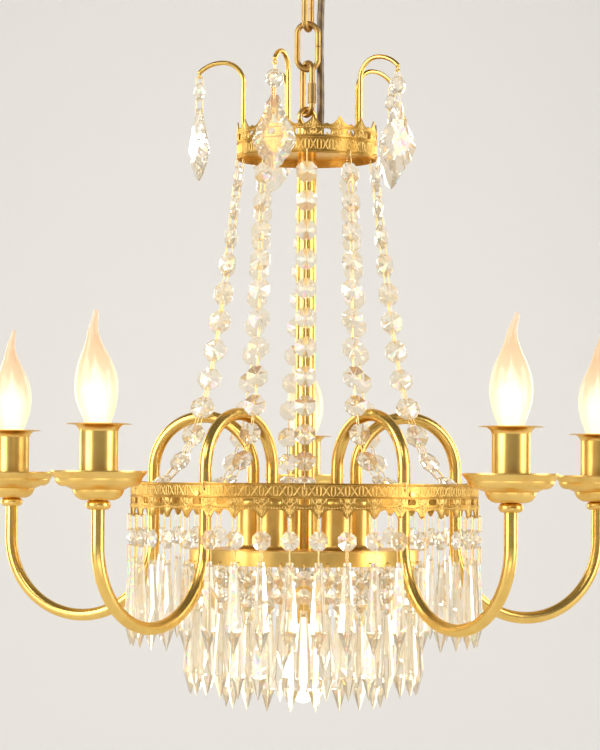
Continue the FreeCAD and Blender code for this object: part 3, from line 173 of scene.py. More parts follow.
# ---- Materials -------------------------------------------------------------------------------


class Nodes:
    """A new material's node tree, with short ways to add and join nodes."""

    def __init__(self, name):
        self.material = bpy.data.materials.new(name)
        self.material.use_nodes = True
        self.tree = self.material.node_tree
        self.shader = self.tree.nodes["Principled BSDF"]

    def add(self, kind, **values):
        node = self.tree.nodes.new(kind)
        for key, value in values.items():
            if hasattr(node, key):
                setattr(node, key, value)
            else:
                node.inputs[key.replace("_", " ")].default_value = value
        return node

    def join(self, source, target):
        self.tree.links.new(source, target)

    def feed(self, source, socket):
        """A value or colour into one of the shader's sockets."""
        self.join(source, self.shader.inputs[socket])

    def set(self, **values):
        for key, value in values.items():
            self.shader.inputs[key.replace("_", " ")].default_value = value

    def place(self):
        """Coordinates in metres in the model's frame."""
        return self.add("ShaderNodeTexCoord").outputs["Object"]

    def noise(self, scale, detail=3.0, stretch=None):
        """Noise whose grains are about 1 / scale metres across, stretched along an axis if asked."""
        texture = self.add("ShaderNodeTexNoise", Scale=scale, Detail=detail)
        place = self.place()
        if stretch:
            mapping = self.add("ShaderNodeMapping", Scale=stretch)
            self.join(place, mapping.inputs["Vector"])
            place = mapping.outputs["Vector"]
        self.join(place, texture.inputs["Vector"])
        return texture.outputs["Fac"]

    def ramp(self, factor, *stops):
        """A colour ramp over (position, colour) stops."""
        node = self.add("ShaderNodeValToRGB")
        elements = node.color_ramp.elements
        while len(elements) < len(stops):
            elements.new(0.5)
        for element, (position, colour) in zip(elements, stops):
            element.position = position
            element.color = (*colour, 1.0)
        self.join(factor, node.inputs["Fac"])
        return node.outputs["Color"]

    def span(self, factor, low, high, start=0.0, end=1.0):
        """A factor brought to a range of values."""
        node = self.add("ShaderNodeMapRange")
        for socket, value in zip(("From Min", "From Max", "To Min", "To Max"), (start, end, low, high)):
            node.inputs[socket].default_value = value
        self.join(factor, node.inputs["Value"])
        return node.outputs["Result"]

    def bump(self, height, strength, distance):
        node = self.add("ShaderNodeBump", Strength=strength, Distance=distance)
        self.join(height, node.inputs["Height"])
        self.feed(node.outputs["Normal"], "Normal")


def brass(name, light, dark, roughness):
    """Gilt brass under lacquer: a soft cloud of tone and slightly uneven gloss."""
    m = Nodes(name)
    m.set(Metallic=1.0, Specular_Tint=(1.0, 0.82, 0.5, 1.0))
    m.feed(m.ramp(m.noise(48.0, 4.0), (0.32, dark), (0.6, light)), "Base Color")
    m.feed(m.span(m.noise(1600.0, 2.0), roughness - 0.03, roughness + 0.05), "Roughness")
    m.bump(m.noise(260.0, 3.0), 0.05, 0.0001)
    m.set(Coat_Weight=0.3, Coat_Roughness=0.3, Coat_IOR=1.45)
    return m.material


def stamped_brass(name, light, dark, roughness):
    """A pressed strip: antique gilding, rubbed brighter in places, over fine hammer marks."""
    m = Nodes(name)
    m.set(Metallic=1.0, Specular_Tint=(1.0, 0.86, 0.62, 1.0))
    m.feed(m.ramp(m.noise(150.0, 4.0), (0.34, dark), (0.62, light)), "Base Color")
    m.feed(m.span(m.noise(700.0, 2.0), roughness - 0.06, roughness + 0.1), "Roughness")
    m.bump(m.noise(520.0, 3.0), 0.12, 0.0002)
    return m.material


def crystal(name):
    """Cut glass: warm body, a faint painted warm glow, and a thin film whose uneven thickness gives gold, rose
    and violet fire.
    """
    m = Nodes(name)
    m.set(Transmission_Weight=0.86, IOR=1.62, Thin_Film_IOR=1.33)
    # Painted glow: a faint warm emission that stands in for the bulbs' light inside the crystals and lifts
    # their shade.
    m.set(Emission_Color=(1.0, 0.82, 0.55, 1.0), Emission_Strength=0.05)
    m.feed(m.ramp(m.noise(70.0, 2.0), (0.35, (1.0, 0.91, 0.74)), (0.65, (1.0, 0.97, 0.9))), "Base Color")
    m.feed(m.span(m.noise(85.0, 2.0), 240.0, 620.0, 0.3, 0.7), "Thin Film Thickness")
    m.feed(m.span(m.noise(240.0), 0.0, 0.03, 0.45, 0.8), "Roughness")
    m.set(Coat_Weight=0.6, Coat_Roughness=0.02)
    return m.material


def steel():
    """Zinc-plated steel with faint streaks."""
    m = Nodes("zinc_steel")
    m.set(Metallic=1.0)
    streak = m.noise(300.0, 3.0, (0.2, 1.0, 1.0))
    m.feed(m.ramp(streak, (0.3, (0.42, 0.41, 0.38)), (0.7, (0.68, 0.67, 0.63))), "Base Color")
    m.feed(m.span(streak, 0.28, 0.5), "Roughness")
    m.bump(streak, 0.1, 0.0001)
    return m.material


def moulded(name, colour, roughness):
    """Moulded plastic or rubber with a fine spark-eroded texture."""
    m = Nodes(name)
    darker = tuple(0.86 * c for c in colour)
    m.feed(m.ramp(m.noise(90.0), (0.3, darker), (0.7, colour)), "Base Color")
    m.feed(m.span(m.noise(160.0), roughness - 0.06, roughness + 0.06), "Roughness")
    m.bump(m.noise(900.0, 2.0), 0.15, 0.0001)
    return m.material


def cord_sheath():
    """Golden brown cord whose twisted cores show as faint bands."""
    m = Nodes("cord_sheath_gold")
    wave = m.add("ShaderNodeTexWave", wave_type="BANDS", bands_direction="DIAGONAL", Scale=42.0,
                 Distortion=0.6)
    m.join(m.place(), wave.inputs["Vector"])
    bands = wave.outputs["Fac"]
    m.feed(m.ramp(bands, (0.2, (0.13, 0.075, 0.022)), (0.8, (0.22, 0.135, 0.045))), "Base Color")
    m.feed(m.span(m.noise(500.0), 0.26, 0.36), "Roughness")
    m.set(Coat_Weight=0.5, Coat_Roughness=0.15)
    m.bump(bands, 0.2, 0.0004)
    return m.material


def bulb_glass(low, high):
    """The bulb's lit glass: cream round the bulge and peach along the tail."""
    m = Nodes("bulb_glass_lit")
    height = m.add("ShaderNodeSeparateXYZ")
    m.join(m.place(), height.inputs["Vector"])
    share = m.span(height.outputs["Z"], 0.0, 1.0, low, high)
    glow = m.ramp(share, (0.0, (1.0, 0.76, 0.38)), (0.16, (1.0, 0.86, 0.5)), (0.42, (1.0, 0.89, 0.58)),
                  (0.6, (1.0, 0.76, 0.46)), (0.8, (1.0, 0.64, 0.36)), (1.0, (1.0, 0.76, 0.54)))
    m.feed(glow, "Emission Color")
    m.feed(m.span(share, 0.8, 0.68, 0.4, 0.95), "Emission Strength")
    m.feed(m.span(m.noise(60.0), 0.06, 0.12), "Roughness")
    m.feed(m.span(share, 0.84, 0.97, 0.4, 0.7), "Alpha")
    m.set(Base_Color=(0.3, 0.24, 0.16, 1.0), Specular_IOR_Level=0.35)
    return m.material


def bulb_glow(name, alpha, strength):
    """The light inside a bulb: white-hot, warmer in its faint clouds."""
    m = Nodes(name)
    m.set(Base_Color=(0.0, 0.0, 0.0, 1.0), Specular_IOR_Level=0.0, Alpha=alpha, Emission_Strength=strength)
    m.feed(m.ramp(m.noise(30.0), (0.2, (1.0, 0.9, 0.66)), (0.7, (1.0, 0.94, 0.76))), "Emission Color")
    return m.material


def pale_stage():
    """The pale floor and backdrop, see-through for an eye behind or below them."""
    m = Nodes("pale_stage")
    m.set(Base_Color=(*STAGE_COLOUR, 1.0), Roughness=0.9, Specular_IOR_Level=0.1)
    m.set(Emission_Color=(1.0, 0.985, 0.96, 1.0))
    rays = m.add("ShaderNodeLightPath")
    seen = rays.outputs["Is Camera Ray"]
    for kind in ("Is Glossy Ray", "Is Transmission Ray"):
        either = m.add("ShaderNodeMath", operation="MAXIMUM")
        m.join(seen, either.inputs[0])
        m.join(rays.outputs[kind], either.inputs[1])
        seen = either.outputs[0]
    m.feed(m.span(seen, 0.0, STAGE_LIFT), "Emission Strength")
    geometry = m.add("ShaderNodeNewGeometry")
    m.feed(m.span(geometry.outputs["Backfacing"], 1.0, 0.0), "Alpha")
    return m.material


# ---- Building helpers ------------------------------------------------------------------------


def around(radius, azimuth, z):
    """A point at an azimuth in degrees."""
    a = math.radians(azimuth)
    return Vector((radius * math.sin(a), -radius * math.cos(a), z))


def mesh_from(bm, name):
    """The mesh of a bmesh, which is freed."""
    mesh = bpy.data.meshes.new(name)
    bm.to_mesh(mesh)
    bm.free()
    return mesh


def placed(name, mesh, material):
    """A mesh with its material as a named object."""
    item = bpy.data.objects.new(name, mesh)
    bpy.context.scene.collection.objects.link(item)
    mesh.materials.clear()
    mesh.materials.append(material)
    return item


def show(name, mesh, material, body, smooth=True):
    """A mesh as a named piece on a body."""
    piece = placed(name, mesh, material)
    for polygon in mesh.polygons:
        polygon.use_smooth = smooth
    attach(piece, body)
    return piece


def tubes(name, paths, radius, sides=1):
    """One mesh of round rods. Each path is (points, closed), or also each point's share of the radius."""
    curve = bpy.data.curves.new(name, "CURVE")
    curve.dimensions = "3D"
    curve.bevel_depth = radius
    curve.bevel_resolution = sides
    curve.use_fill_caps = True
    for points, closed, *shares in paths:
        spline = curve.splines.new("POLY")
        spline.points.add(len(points) - 1)
        for point, place in zip(spline.points, points):
            point.co = (*place, 1.0)
        for point, share in zip(spline.points, shares[0] if shares else ()):
            point.radius = share
        spline.use_cyclic_u = closed
    holder = bpy.data.objects.new(name, curve)
    mesh = bpy.data.meshes.new_from_object(holder)
    bpy.data.objects.remove(holder)
    bpy.data.curves.remove(curve)
    return mesh


def lofted(name, loops, segments=40):
    """A closed skin over level circles (x, y, z, radius)."""
    bm = bmesh.new()
    turns = [2 * math.pi * k / segments for k in range(segments)]
    rings = []
    for x, y, z, r in loops:
        rings.append([bm.verts.new((x + r * math.cos(a), y + r * math.sin(a), z)) for a in turns])
    for low, high in zip(rings, rings[1:]):
        for k in range(segments):
            j = (k + 1) % segments
            bm.faces.new((low[k], low[j], high[j], high[k]))
    bm.faces.new(rings[0][::-1])
    bm.faces.new(rings[-1])
    bmesh.ops.remove_doubles(bm, verts=bm.verts, dist=1e-6)
    return mesh_from(bm, name)


def paint(material, *nodes):
    """The material on CAD nodes."""
    for node in nodes:
        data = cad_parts[node].data
        data.materials.clear()
        data.materials.append(material)


# ---- Metalwork -------------------------------------------------------------------------------


def on_strip(radius, azimuth, z, points):
    """Points (sideways, up) in metres, wrapped on a strip round the axis."""
    return [around(radius, azimuth + math.degrees(u / radius), z + v) for u, v in points]


def in_metres(line, up=1):
    """A line in millimetres brought to metres, turned over where up is -1."""
    return [(u * MM, v * MM * up) for u, v in line]


def mirrored(points):
    return [(-u, v) for u, v in points]


def both_sides(line):
    """A line and its mirror image, or the line alone where it runs up the middle."""
    off_middle = any(abs(point[0]) > 0.05 for point in line)
    return (line, mirrored(line)) if off_middle else (line,)


def arc(level, half_width, height, count):
    """Points of half an ellipse that stands on a level, from right to left."""
    steps = [math.radians(180 * k / (count - 1)) for k in range(count)]
    return [(half_width * math.cos(a), level + height * math.sin(a)) for a in steps]


def curl(centre_u, centre_v, radius, start, turns, count=13):
    """Points of a curl that winds inwards."""
    points = []
    for k in range(count):
        share = k / (count - 1)
        a = math.radians(start) + turns * 2 * math.pi * share
        r = radius * (1.0 - 0.7 * share)
        points.append((centre_u + r * math.cos(a), centre_v + r * math.sin(a)))
    return points


def smooth_stroke(points, count=7):
    """A few points joined by a smooth line."""
    spans = len(points) - 1
    line = []
    for k in range(count + 1):
        at = spans * k / count
        span = min(int(at), spans - 1)
        line.append(tuple(on_curve(points, span, at - span)))
    return line


def on_curve(points, span, t):
    """A point of the smooth curve through the given points, at a share t of one span."""
    last = len(points) - 1
    before, a, b, after = (Vector(points[min(max(i, 0), last)]) for i in range(span - 1, span + 3))
    return 0.5 * (2 * a + (b - before) * t + (2 * before - 5 * a + 4 * b - after) * t ** 2
                  + (3 * a - before - 3 * b + after) * t ** 3)


def tapered(count, first, last):
    """Shares of the stroke's radius that swell a third of the way along."""
    shares = []
    for k in range(count):
        at = k / (count - 1)
        swell = 1.0 + 0.35 * math.sin(math.pi * min(1.0, 1.6 * at))
        shares.append((first + (last - first) * at) * swell)
    return shares


def oval_band(radius, low, high, count):
    """Long upright ovals, with a cross of two bowed strokes between one and the next."""
    middle_z = (low + high) / 2
    half = (high - low) / MM / 2
    top = arc(half - 1.5, 1.6, 1.5, 7)
    oval = in_metres(top + [(-u, -v) for u, v in top])
    reach = math.pi * radius / count / MM - 2.9
    bow = (0.45 * reach, 0.5 * half)
    cross = smooth_stroke([(-reach, -half), (-bow[0], -bow[1]), bow, (reach, half)])
    thinner_ends = (0.8,) + (1.0,) * (len(cross) - 2) + (0.8,)
    paths = []
    for k in range(count):
        azimuth = 360.0 * k / count
        paths.append((on_strip(radius, azimuth, middle_z, oval), True))
        for line in both_sides(cross):
            between = azimuth + 180.0 / count
            paths.append((on_strip(radius, between, middle_z, in_metres(line)), False, thinner_ends))
    return paths


def lace_motif():
    """The ring's motif, in millimetres down from the band: heart of scrolls, rosette, leafy fan.

    Each stroke comes with its thickness at the start and at the end. The right half is given.
    """
    return (
        (curl(3.3, 3.0, 2.3, 250, -1.1), 1.1, 0.6),
        (smooth_stroke([(2.6, 5.2), (1.6, 6.4), (0.5, 7.4)], 4), 1.0, 0.8),
        (smooth_stroke([(0.0, 0.6), (0.5, 2.6), (0.0, 5.0)], 4), 0.9, 0.7),
        (smooth_stroke([(6.3, 0.4), (5.6, 2.6), (6.4, 5.0)], 4), 0.9, 0.7),
        (smooth_stroke([(0.0, 9.4), (0.0, 13.0), (0.0, 16.6)], 4), 1.3, 0.45),
        (smooth_stroke([(0.9, 9.6), (1.5, 12.0), (1.2, 14.6)], 5), 1.0, 0.5),
        (smooth_stroke([(1.6, 9.1), (2.9, 10.8), (2.9, 12.8)], 5), 1.0, 0.5),
        (smooth_stroke([(2.2, 8.3), (4.0, 9.0), (4.7, 10.6)], 5), 0.9, 0.5),
    )


def crest_motif():
    """The crown's leaf, in millimetres up from the band: scrolls, rosette, veined leaf with side lobes."""
    return (
        (curl(3.9, 2.6, 2.2, 110, 1.1), 1.1, 0.6),
        (smooth_stroke([(3.0, 4.7), (1.8, 5.8), (0.6, 6.6)], 4), 1.0, 0.8),
        (smooth_stroke([(0.0, 0.6), (0.7, 2.4), (0.0, 4.6)], 4), 0.9, 0.7),
        (smooth_stroke([(7.4, 0.5), (6.7, 2.8), (7.8, 5.0)], 4), 0.9, 0.7),
        (smooth_stroke([(0.0, 8.6), (0.0, 12.4), (0.0, 16.4)], 4), 1.4, 0.5),
        (smooth_stroke([(0.9, 8.6), (2.2, 11.0), (1.3, 14.2)], 6), 1.15, 0.5),
        (smooth_stroke([(1.6, 8.0), (3.9, 9.4), (3.5, 12.0)], 6), 1.05, 0.5),
        (smooth_stroke([(2.2, 7.2), (5.2, 7.6), (6.2, 9.6)], 6), 1.0, 0.5),
    )


def beads(places, radius):
    """One mesh of small balls."""
    bm = bmesh.new()
    for place in places:
        bmesh.ops.create_icosphere(bm, subdivisions=2, radius=radius, matrix=Matrix.Translation(place))
    return mesh_from(bm, "beads")


def swag_points(pitch_length, level, sag, start):
    """The middles of a swag's beads, in millimetres, from one motif to the next."""
    points = []
    for j in range(SWAG_BEADS):
        share = j / (SWAG_BEADS - 1)
        along = start + share * (pitch_length - 2 * start)
        points.append((along, level - sag * math.sin(math.pi * share)))
    return points


def petal_points(level):
    """The middles of a rosette's petals, in millimetres."""
    turns = [2 * math.pi * j / PETALS for j in range(PETALS)]
    return [(PETAL_REACH * math.cos(a), level + PETAL_REACH * math.sin(a)) for a in turns]


def strip_relief(node, root_z, up, motif, first_azimuth, motifs, band, ovals, swag):
    """The raised work on one stamped strip: band of ovals, leaf motifs and beaded swags with rosettes."""
    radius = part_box(node)[1].x - MOULDING_R
    sunk_radius = radius - STROKE_SUNK
    paths = oval_band(sunk_radius, *band, ovals)
    pitch = 360.0 / motifs
    level = swag[0]
    swag_line = in_metres(swag_points(math.radians(pitch) * radius / MM, *swag), up)
    petals = in_metres(petal_points(level), up)
    balls, rosettes = [], []
    for k in range(motifs):
        azimuth = first_azimuth + k * pitch
        for line, first, last in motif:
            for side in both_sides(line):
                places = on_strip(sunk_radius, azimuth, root_z, in_metres(side, up))
                paths.append((places, False, tapered(len(places), first, last)))
        balls += on_strip(radius, azimuth, root_z, swag_line)
        balls += on_strip(radius - PETAL_SUNK, azimuth, root_z, petals)
        rosettes += on_strip(radius, azimuth, root_z, in_metres([(0.0, level)], up))
    show(node + "_relief", tubes(node, paths, STROKE_R), relief_brass, "fixture")
    show(node + "_swags", beads(balls, SWAG_BEAD_R), relief_brass, "fixture")
    show(node + "_rosettes", beads(rosettes, ROSETTE_R), relief_brass, "fixture")


def drum_rim():
    """The lid's rolled edge round the top of the drum, with its dark seam."""
    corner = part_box("drum")[1]
    for name, (drop, radius), material in (("roll", DRUM_ROLL, relief_brass), ("seam", DRUM_SEAM, dark_seam)):
        circle = [around(corner.x - DRUM_LINES_SUNK, 5.0 * k, corner.z - drop * MM) for k in range(72)]
        line = tubes(name, [(circle, True)], radius * MM, 2)
        show("drum_" + name, line, material, "fixture")


# ---- Crystals --------------------------------------------------------------------------------


def facets(node):
    """A node's mesh with its triangles joined into whole flats."""
    bm = bmesh.new()
    bm.from_mesh(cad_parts[node].data)
    bmesh.ops.remove_doubles(bm, verts=bm.verts, dist=1e-6)
    bmesh.ops.dissolve_limit(bm, angle_limit=math.radians(1.0), verts=bm.verts, edges=bm.edges)
    return bm


def undrilled(face):
    """Whether a flat has no hole drilled in it: its edges are all fairly long."""
    return min(edge.calc_length() for edge in face.edges) > LEAST_FLAT_EDGE


def cut_stones(node, bm, body):
    """The cut stones as the piece that stands for their node."""
    piece = show(node + "_cut", mesh_from(bm, node), crystal_glass, body, smooth=False)
    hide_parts(node)


def finer_cut(node, body):
    """A node's stones with each flat cut once more, so that every table and bevel is a low star."""
    bm = facets(node)
    tables = [face for face in bm.faces if 8 <= len(face.verts) <= 30 and undrilled(face)]
    bevels = [face for face in bm.faces if len(face.verts) == 4 and face.calc_area() > LEAST_BEVEL_AREA]
    bmesh.ops.poke(bm, faces=tables, offset=PENDANT_TABLE_RISE, center_mode="MEAN")
    bmesh.ops.poke(bm, faces=bevels, offset=PENDANT_BEVEL_RISE, center_mode="MEAN")
    cut_stones(node, bm, body)


def star_cut(node, body):
    """A node's octagons with eight facets on each side that run from the girdle to a point."""
    bm = facets(node)
    stars = bmesh.new()
    done = set()
    for vert in bm.verts:
        if vert not in done:
            stone = stone_of(vert)
            done.update(stone)
            star(stars, stone)
    bm.free()
    cut_stones(node, stars, body)


def stone_of(vert):
    """The vertices of the stone that one vertex belongs to, in the order in which they are reached."""
    stone = {vert: None}
    edge = [vert]
    while edge:
        others = [e.other_vert(v) for v in edge for e in v.link_edges]
        edge = [v for v in dict.fromkeys(others) if v not in stone]
        stone.update(dict.fromkeys(edge))
    return list(stone)


def star(stars, stone):
    """One octagon's star, from the two tables and the girdle of its plain stone."""
    faces = dict.fromkeys(face for vert in stone for face in vert.link_faces)
    flats = [face for face in faces if len(face.verts) == 8 and undrilled(face)]
    tables = sorted(flats, key=lambda face: -face.calc_area())[:2]
    front, back = [table.calc_center_median() for table in tables]
    middle, axis = (front + back) / 2, (front - back).normalized()
    across = axis.orthogonal().normalized()
    upward = axis.cross(across)
    reach = {vert: (vert.co - middle - axis * (vert.co - middle).dot(axis)).length for vert in stone}
    furthest = max(reach.values())
    girdle = [vert.co for vert in stone if reach[vert] > 0.95 * furthest]
    rims = []
    for side in (1, -1):
        rim = [co for co in girdle if (co - middle).dot(axis) * side > 0]
        rim.sort(key=lambda co: math.atan2((co - middle).dot(upward), (co - middle).dot(across)))
        rims.append([stars.verts.new(co) for co in rim])
    near, far = rims
    points = [stars.verts.new(front), stars.verts.new(back)]
    for k in range(len(near)):
        j = (k + 1) % len(near)
        stars.faces.new((points[0], near[k], near[j]))
        stars.faces.new((points[1], far[j], far[k]))
        stars.faces.new((near[k], far[k], far[j], near[j]))


# ---- Bulbs and cord --------------------------------------------------------------------------


def candle_bulbs():
    """Glass, inner glow and screw cap of each flame bulb, in place of its plain node."""
    for number, azimuth in enumerate(ARM_AZIMUTHS, 1):
        node = "candle_bulb_%d" % number
        body = "bulb_%d" % number
        low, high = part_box(node)
        place = around(candle_circle_r, azimuth, low.z)
        height = high.z - low.z
        leans = BULB_LEANS[number - 1]
        shell = show(node + "_glass", flame(place, height, leans), bulb_glass_lit, body)
        for layer, (width, top, material) in enumerate(glow_layers()):
            core = flame_core(place, height, leans, width, top)
            show("%s_glow_%d" % (node, layer), core, material, body)
        cap = lofted("cap", [(place.x, place.y, place.z + z, r) for r, z in cap_profile()], 48)
        show(node + "_cap", cap, zinc_steel, body)
        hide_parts(node)


def glow_layers():
    """The light inside a bulb: its share of the glass's width, its top's share of the height, its material."""
    return (
        (0.82, 0.7, glow_haze),
        (0.72, 0.69, glow_haze),
        (0.61, 0.68, glow_haze),
        (0.5, 0.66, glow_core),
    )


def cap_profile():
    """A screw cap's profile up from its contact at z = 0, with its rolled thread."""
    profile = [(0.0, 0.0), (2.2, 0.0), (2.6, 0.6), (5.0, 3.0), (6.2, 3.2)]
    z = 4.2
    while z < 17.0:
        profile += [(6.9, z), (6.9, z + 0.7), (6.35, z + 1.3), (6.35, z + 1.7)]
        z += 2.4
    profile += [(6.8, 19.0), (6.9, 20.9), (0.0, 20.9)]
    return in_metres(profile)


def smooth_step(start, end, at):
    share = min(1.0, max(0.0, (at - start) / (end - start)))
    return share * share * (3.0 - 2.0 * share)


def aside(leans, at):
    """How far a bulb's middle line is aside, at a share of its height."""
    bulge, waist, tip = leans
    return (bulge * smooth_step(0.0, 0.4, at) + (waist - bulge) * smooth_step(0.45, 0.86, at)
            + (tip - waist) * smooth_step(0.83, 0.99, at))


def bulb_loop(place, height, leans, at, radius):
    """A level circle round a bulb's middle line, at a share of the glass's height."""
    z = place.z + BULB_CAP + (height - BULB_CAP) * at
    return place.x + aside(leans, at) * MM, place.y, z, radius * MM


def flame(place, height, leans):
    """A flame bulb's skin on its cap: bulge, waist and a tail that hooks over."""
    return lofted("flame", [bulb_loop(place, height, leans, at, radius) for at, radius in BULB_SKIN])


def flame_core(place, height, leans, width, top):
    """One layer of the light inside: narrow at the cap, fullest at the bulge and drawn out to a point."""
    bottom, steps = 0.02, 16
    loops = []
    for k in range(steps + 1):
        share = k / steps
        swell = 0.36 + 0.64 * math.sin(math.pi * min(1.0, 0.08 + 0.76 * share)) ** 1.5
        radius = BULB_R * width * swell * (1.0 - smooth_step(0.45, 1.0, share) * 0.97)
        loops.append(bulb_loop(place, height, leans, bottom + (top - bottom) * share, radius))
    return lofted("flame", loops)


def cord_line():
    """Points along the cord's smooth line."""
    curve = bpy.data.curves.new("cord_line", "CURVE")
    curve.dimensions = "3D"
    curve.resolution_u = 24
    spline = curve.splines.new("NURBS")
    spline.points.add(len(CORD_ROUTE) - 1)
    for point, (x, y, z) in zip(spline.points, CORD_ROUTE):
        point.co = (x * MM, y * MM, z * MM, 1.0)
    spline.order_u = 3
    spline.use_endpoint_u = True
    holder = bpy.data.objects.new("cord_line", curve)
    line = [v.co.copy() for v in bpy.data.meshes.new_from_object(holder).vertices]
    bpy.data.objects.remove(holder)
    return line


def power_cord():
    """The cord as two tubes on one line, which meet on the upper link."""
    line = cord_line()
    split = min(range(len(line)), key=lambda k: abs(line[k].z - CORD_SPLIT_Z))
    halves = (
        ("power_cord_upper", line[:split + 1], "ceiling", "upper_link"),
        ("power_cord_lower", line[split:], "upper_link", "fixture"),
    )
    for name, points, above, below in halves:
        mesh = tubes(name, [(points, False)], CORD_DIAMETER / 2, 5)
        piece = placed(name, mesh, cord_gold)
        for polygon in mesh.polygons:
            polygon.use_smooth = len(polygon.vertices) == 4
        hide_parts("power_cord")
        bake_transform(piece)


# ---- Stage, light and camera -----------------------------------------------------------------


def stage():
    """A pale floor that rises into a backdrop behind the lamp."""
    floor_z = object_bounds()[0].z - FLOOR_BELOW_LAMP
    cove_y = BACKDROP_Y - COVE_R
    profile = [(-STAGE_REACH, floor_z), (cove_y, floor_z)]
    for k in range(1, 13):
        a = math.radians(90.0 * k / 12)
        profile.append((cove_y + COVE_R * math.sin(a), floor_z + COVE_R * (1 - math.cos(a))))
    profile.append((BACKDROP_Y, floor_z + BACKDROP_HEIGHT))
    bm = bmesh.new()
    rows = [[bm.verts.new((x, y, z)) for x in (-STAGE_REACH, STAGE_REACH)] for y, z in profile]
    for a, b in zip(rows, rows[1:]):
        bm.faces.new((a[0], a[1], b[1], b[0]))
    mesh = mesh_from(bm, "backdrop")
    for polygon in mesh.polygons:
        polygon.use_smooth = True
    backdrop = placed("backdrop", mesh, pale_stage())
    backdrop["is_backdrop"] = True


def lamp(name, place, size, power, colour):
    """A soft rectangular lamp that faces the chandelier."""
    data = bpy.data.lights.new(name, "AREA")
    data.shape = "RECTANGLE"
    data.size, data.size_y = size
    data.energy = power
    data.color = colour
    item = bpy.data.objects.new(name, data)
    item.location = place
    item.rotation_euler = (Vector(LAMP_TARGET) - Vector(place)).to_track_quat("-Z", "Y").to_euler()
    bpy.context.scene.collection.objects.link(item)


def lights():
    """A broad key far round on the left, a fill on the right, strips for the edges, and a dim world."""
    for name, values in LAMPS.items():
        lamp(name, *values)
    world = bpy.data.worlds.new("studio")
    bpy.context.scene.world = world
    world.use_nodes = True
    background = world.node_tree.nodes["Background"]
    background.inputs["Color"].default_value = (*WORLD_COLOUR, 1.0)
    background.inputs["Strength"].default_value = WORLD_STRENGTH


def camera():
    """The photograph's view."""
    data = bpy.data.cameras.new("camera")
    data.sensor_width = SENSOR_WIDTH
    data.lens = FOCAL_PIXELS / LONG_SIDE_PIXELS * SENSOR_WIDTH
    item = bpy.data.objects.new("camera", data)
    bpy.context.scene.collection.objects.link(item)
    turn = Matrix.Rotation(math.radians(CAMERA_YAW), 3, "Z")
    tilt = Matrix.Rotation(math.radians(90.0 + CAMERA_PITCH), 3, "X")
    roll = Matrix.Rotation(math.radians(CAMERA_ROLL), 3, "Z")
    item.location = (0.0, -CAMERA_DISTANCE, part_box("drum")[1].z + HORIZON_ABOVE_DRUM)
    item.rotation_euler = (turn @ tilt @ roll).to_euler()
    bpy.context.scene.camera = item
    bpy.context.scene.view_settings.view_transform = "Standard"


# ---- The scene -------------------------------------------------------------------------------

ring_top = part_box("ring_gallery")[1].z
ring_band_bottom = ring_top - RING_BAND
crown_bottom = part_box("crown_gallery")[0].z
crown_band_top = crown_bottom + CROWN_BAND
candle_circle_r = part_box("drip_pans")[1].y - DRIP_PAN_R
bulb_low, bulb_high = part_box("candle_bulb_1")

tube_brass = brass("tube_brass", (0.85, 0.57, 0.16), (0.76, 0.49, 0.12), 0.25)
turned_brass = brass("turned_brass", (0.86, 0.58, 0.17), (0.76, 0.48, 0.12), 0.3)
link_brass = brass("link_brass", (0.58, 0.36, 0.11), (0.42, 0.25, 0.07), 0.4)
sleeve_brass = brass("sleeve_brass", (0.4, 0.26, 0.09), (0.3, 0.19, 0.06), 0.5)
wire_brass = brass("wire_brass", (0.92, 0.72, 0.36), (0.82, 0.58, 0.24), 0.2)
# The strips' brass is painted darker than the relief on it: painted shade in the hollows between the raised
# strokes.
strip_brass_painted_shade = stamped_brass("strip_brass_painted_shade", (0.64, 0.38, 0.09), (0.46, 0.26, 0.06), 0.36)
dark_seam = stamped_brass("dark_seam", (0.16, 0.08, 0.02), (0.09, 0.045, 0.012), 0.5)
relief_brass = stamped_brass("relief_brass", (0.9, 0.64, 0.23), (0.78, 0.51, 0.15), 0.28)
crystal_glass = crystal("cut_crystal")
zinc_steel = steel()
holder_phenolic = moulded("holder_phenolic", (0.8, 0.76, 0.66), 0.42)
grommet_rubber = moulded("grommet_rubber_black", (0.06, 0.055, 0.05), 0.6)
cord_gold = cord_sheath()
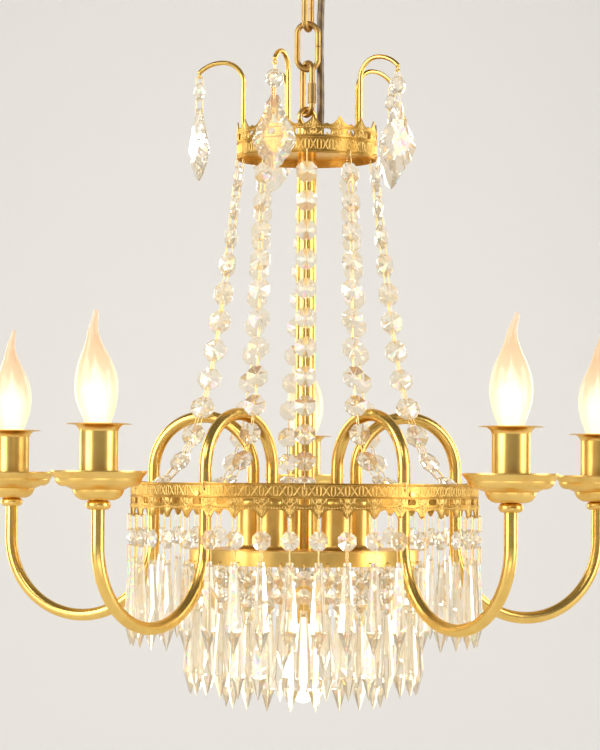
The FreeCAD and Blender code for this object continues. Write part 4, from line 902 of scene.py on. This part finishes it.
bulb_glass_lit = bulb_glass(bulb_low.z + BULB_CAP, bulb_high.z)
glow_core = bulb_glow("bulb_glow", 1.0, 5.0)
glow_haze = bulb_glow("bulb_glow_haze", 0.18, 4.0)
bulb_frost = bulb_glow("bulb_frost", 1.0, 3.0)

paint(tube_brass, "central_rod", "crown_hooks", *["arm_%d" % k for k in range(1, 6)])
paint(turned_brass, "canopy", "canopy_loop", "top_eye", "crown_plate", "drum", "drum_cover", "inner_ring")
paint(turned_brass, "base_cups", "arm_collars", "drip_pans", "candle_seats", "candle_covers")
paint(turned_brass, "centre_lamp_cup", "ring_fixings", "hook_nuts")
paint(link_brass, "chain_link_upper", "chain_link_lower", "quick_link")
paint(sleeve_brass, "quick_link_sleeve")
paint(strip_brass_painted_shade, "ring_gallery", "crown_gallery")
paint(wire_brass, "strand_links", "drop_links", *["pendant_links_%d" % k for k in range(1, 6)])
paint(zinc_steel, "ceiling_bracket", "ceiling_tube", "bracket_nut", "tie_tube", "tube_nuts")
paint(holder_phenolic, "lamp_holders", "terminal_block")
paint(grommet_rubber, "cord_grommet")
paint(crystal_glass, "ring_prisms", "drum_prisms", "inner_prisms")
paint(bulb_frost, "centre_bulb")

power_cord()
candle_bulbs()
star_cut("strand_octagons", "fixture")
star_cut("drop_octagons", "fixture")
for number in range(1, 6):
    finer_cut("pendant_crystals_%d" % number, "pendant_%d" % number)
ring_ovals = (ring_band_bottom + RING_BAND_MARGINS[0], ring_top - RING_BAND_MARGINS[1])
strip_relief("ring_gallery", ring_band_bottom, -1, lace_motif(), 180.0 / MOTIFS_ON_RING, MOTIFS_ON_RING,
             ring_ovals, OVALS_ON_RING, RING_SWAG)
crown_ovals = (crown_bottom + CROWN_BAND_MARGINS[0], crown_band_top - CROWN_BAND_MARGINS[1])
strip_relief("crown_gallery", crown_band_top, 1, crest_motif(), FIRST_CREST, CRESTS_ON_CROWN,
             crown_ovals, OVALS_ON_CROWN, CROWN_SWAG)
drum_rim()
stage()
lights()
camera()
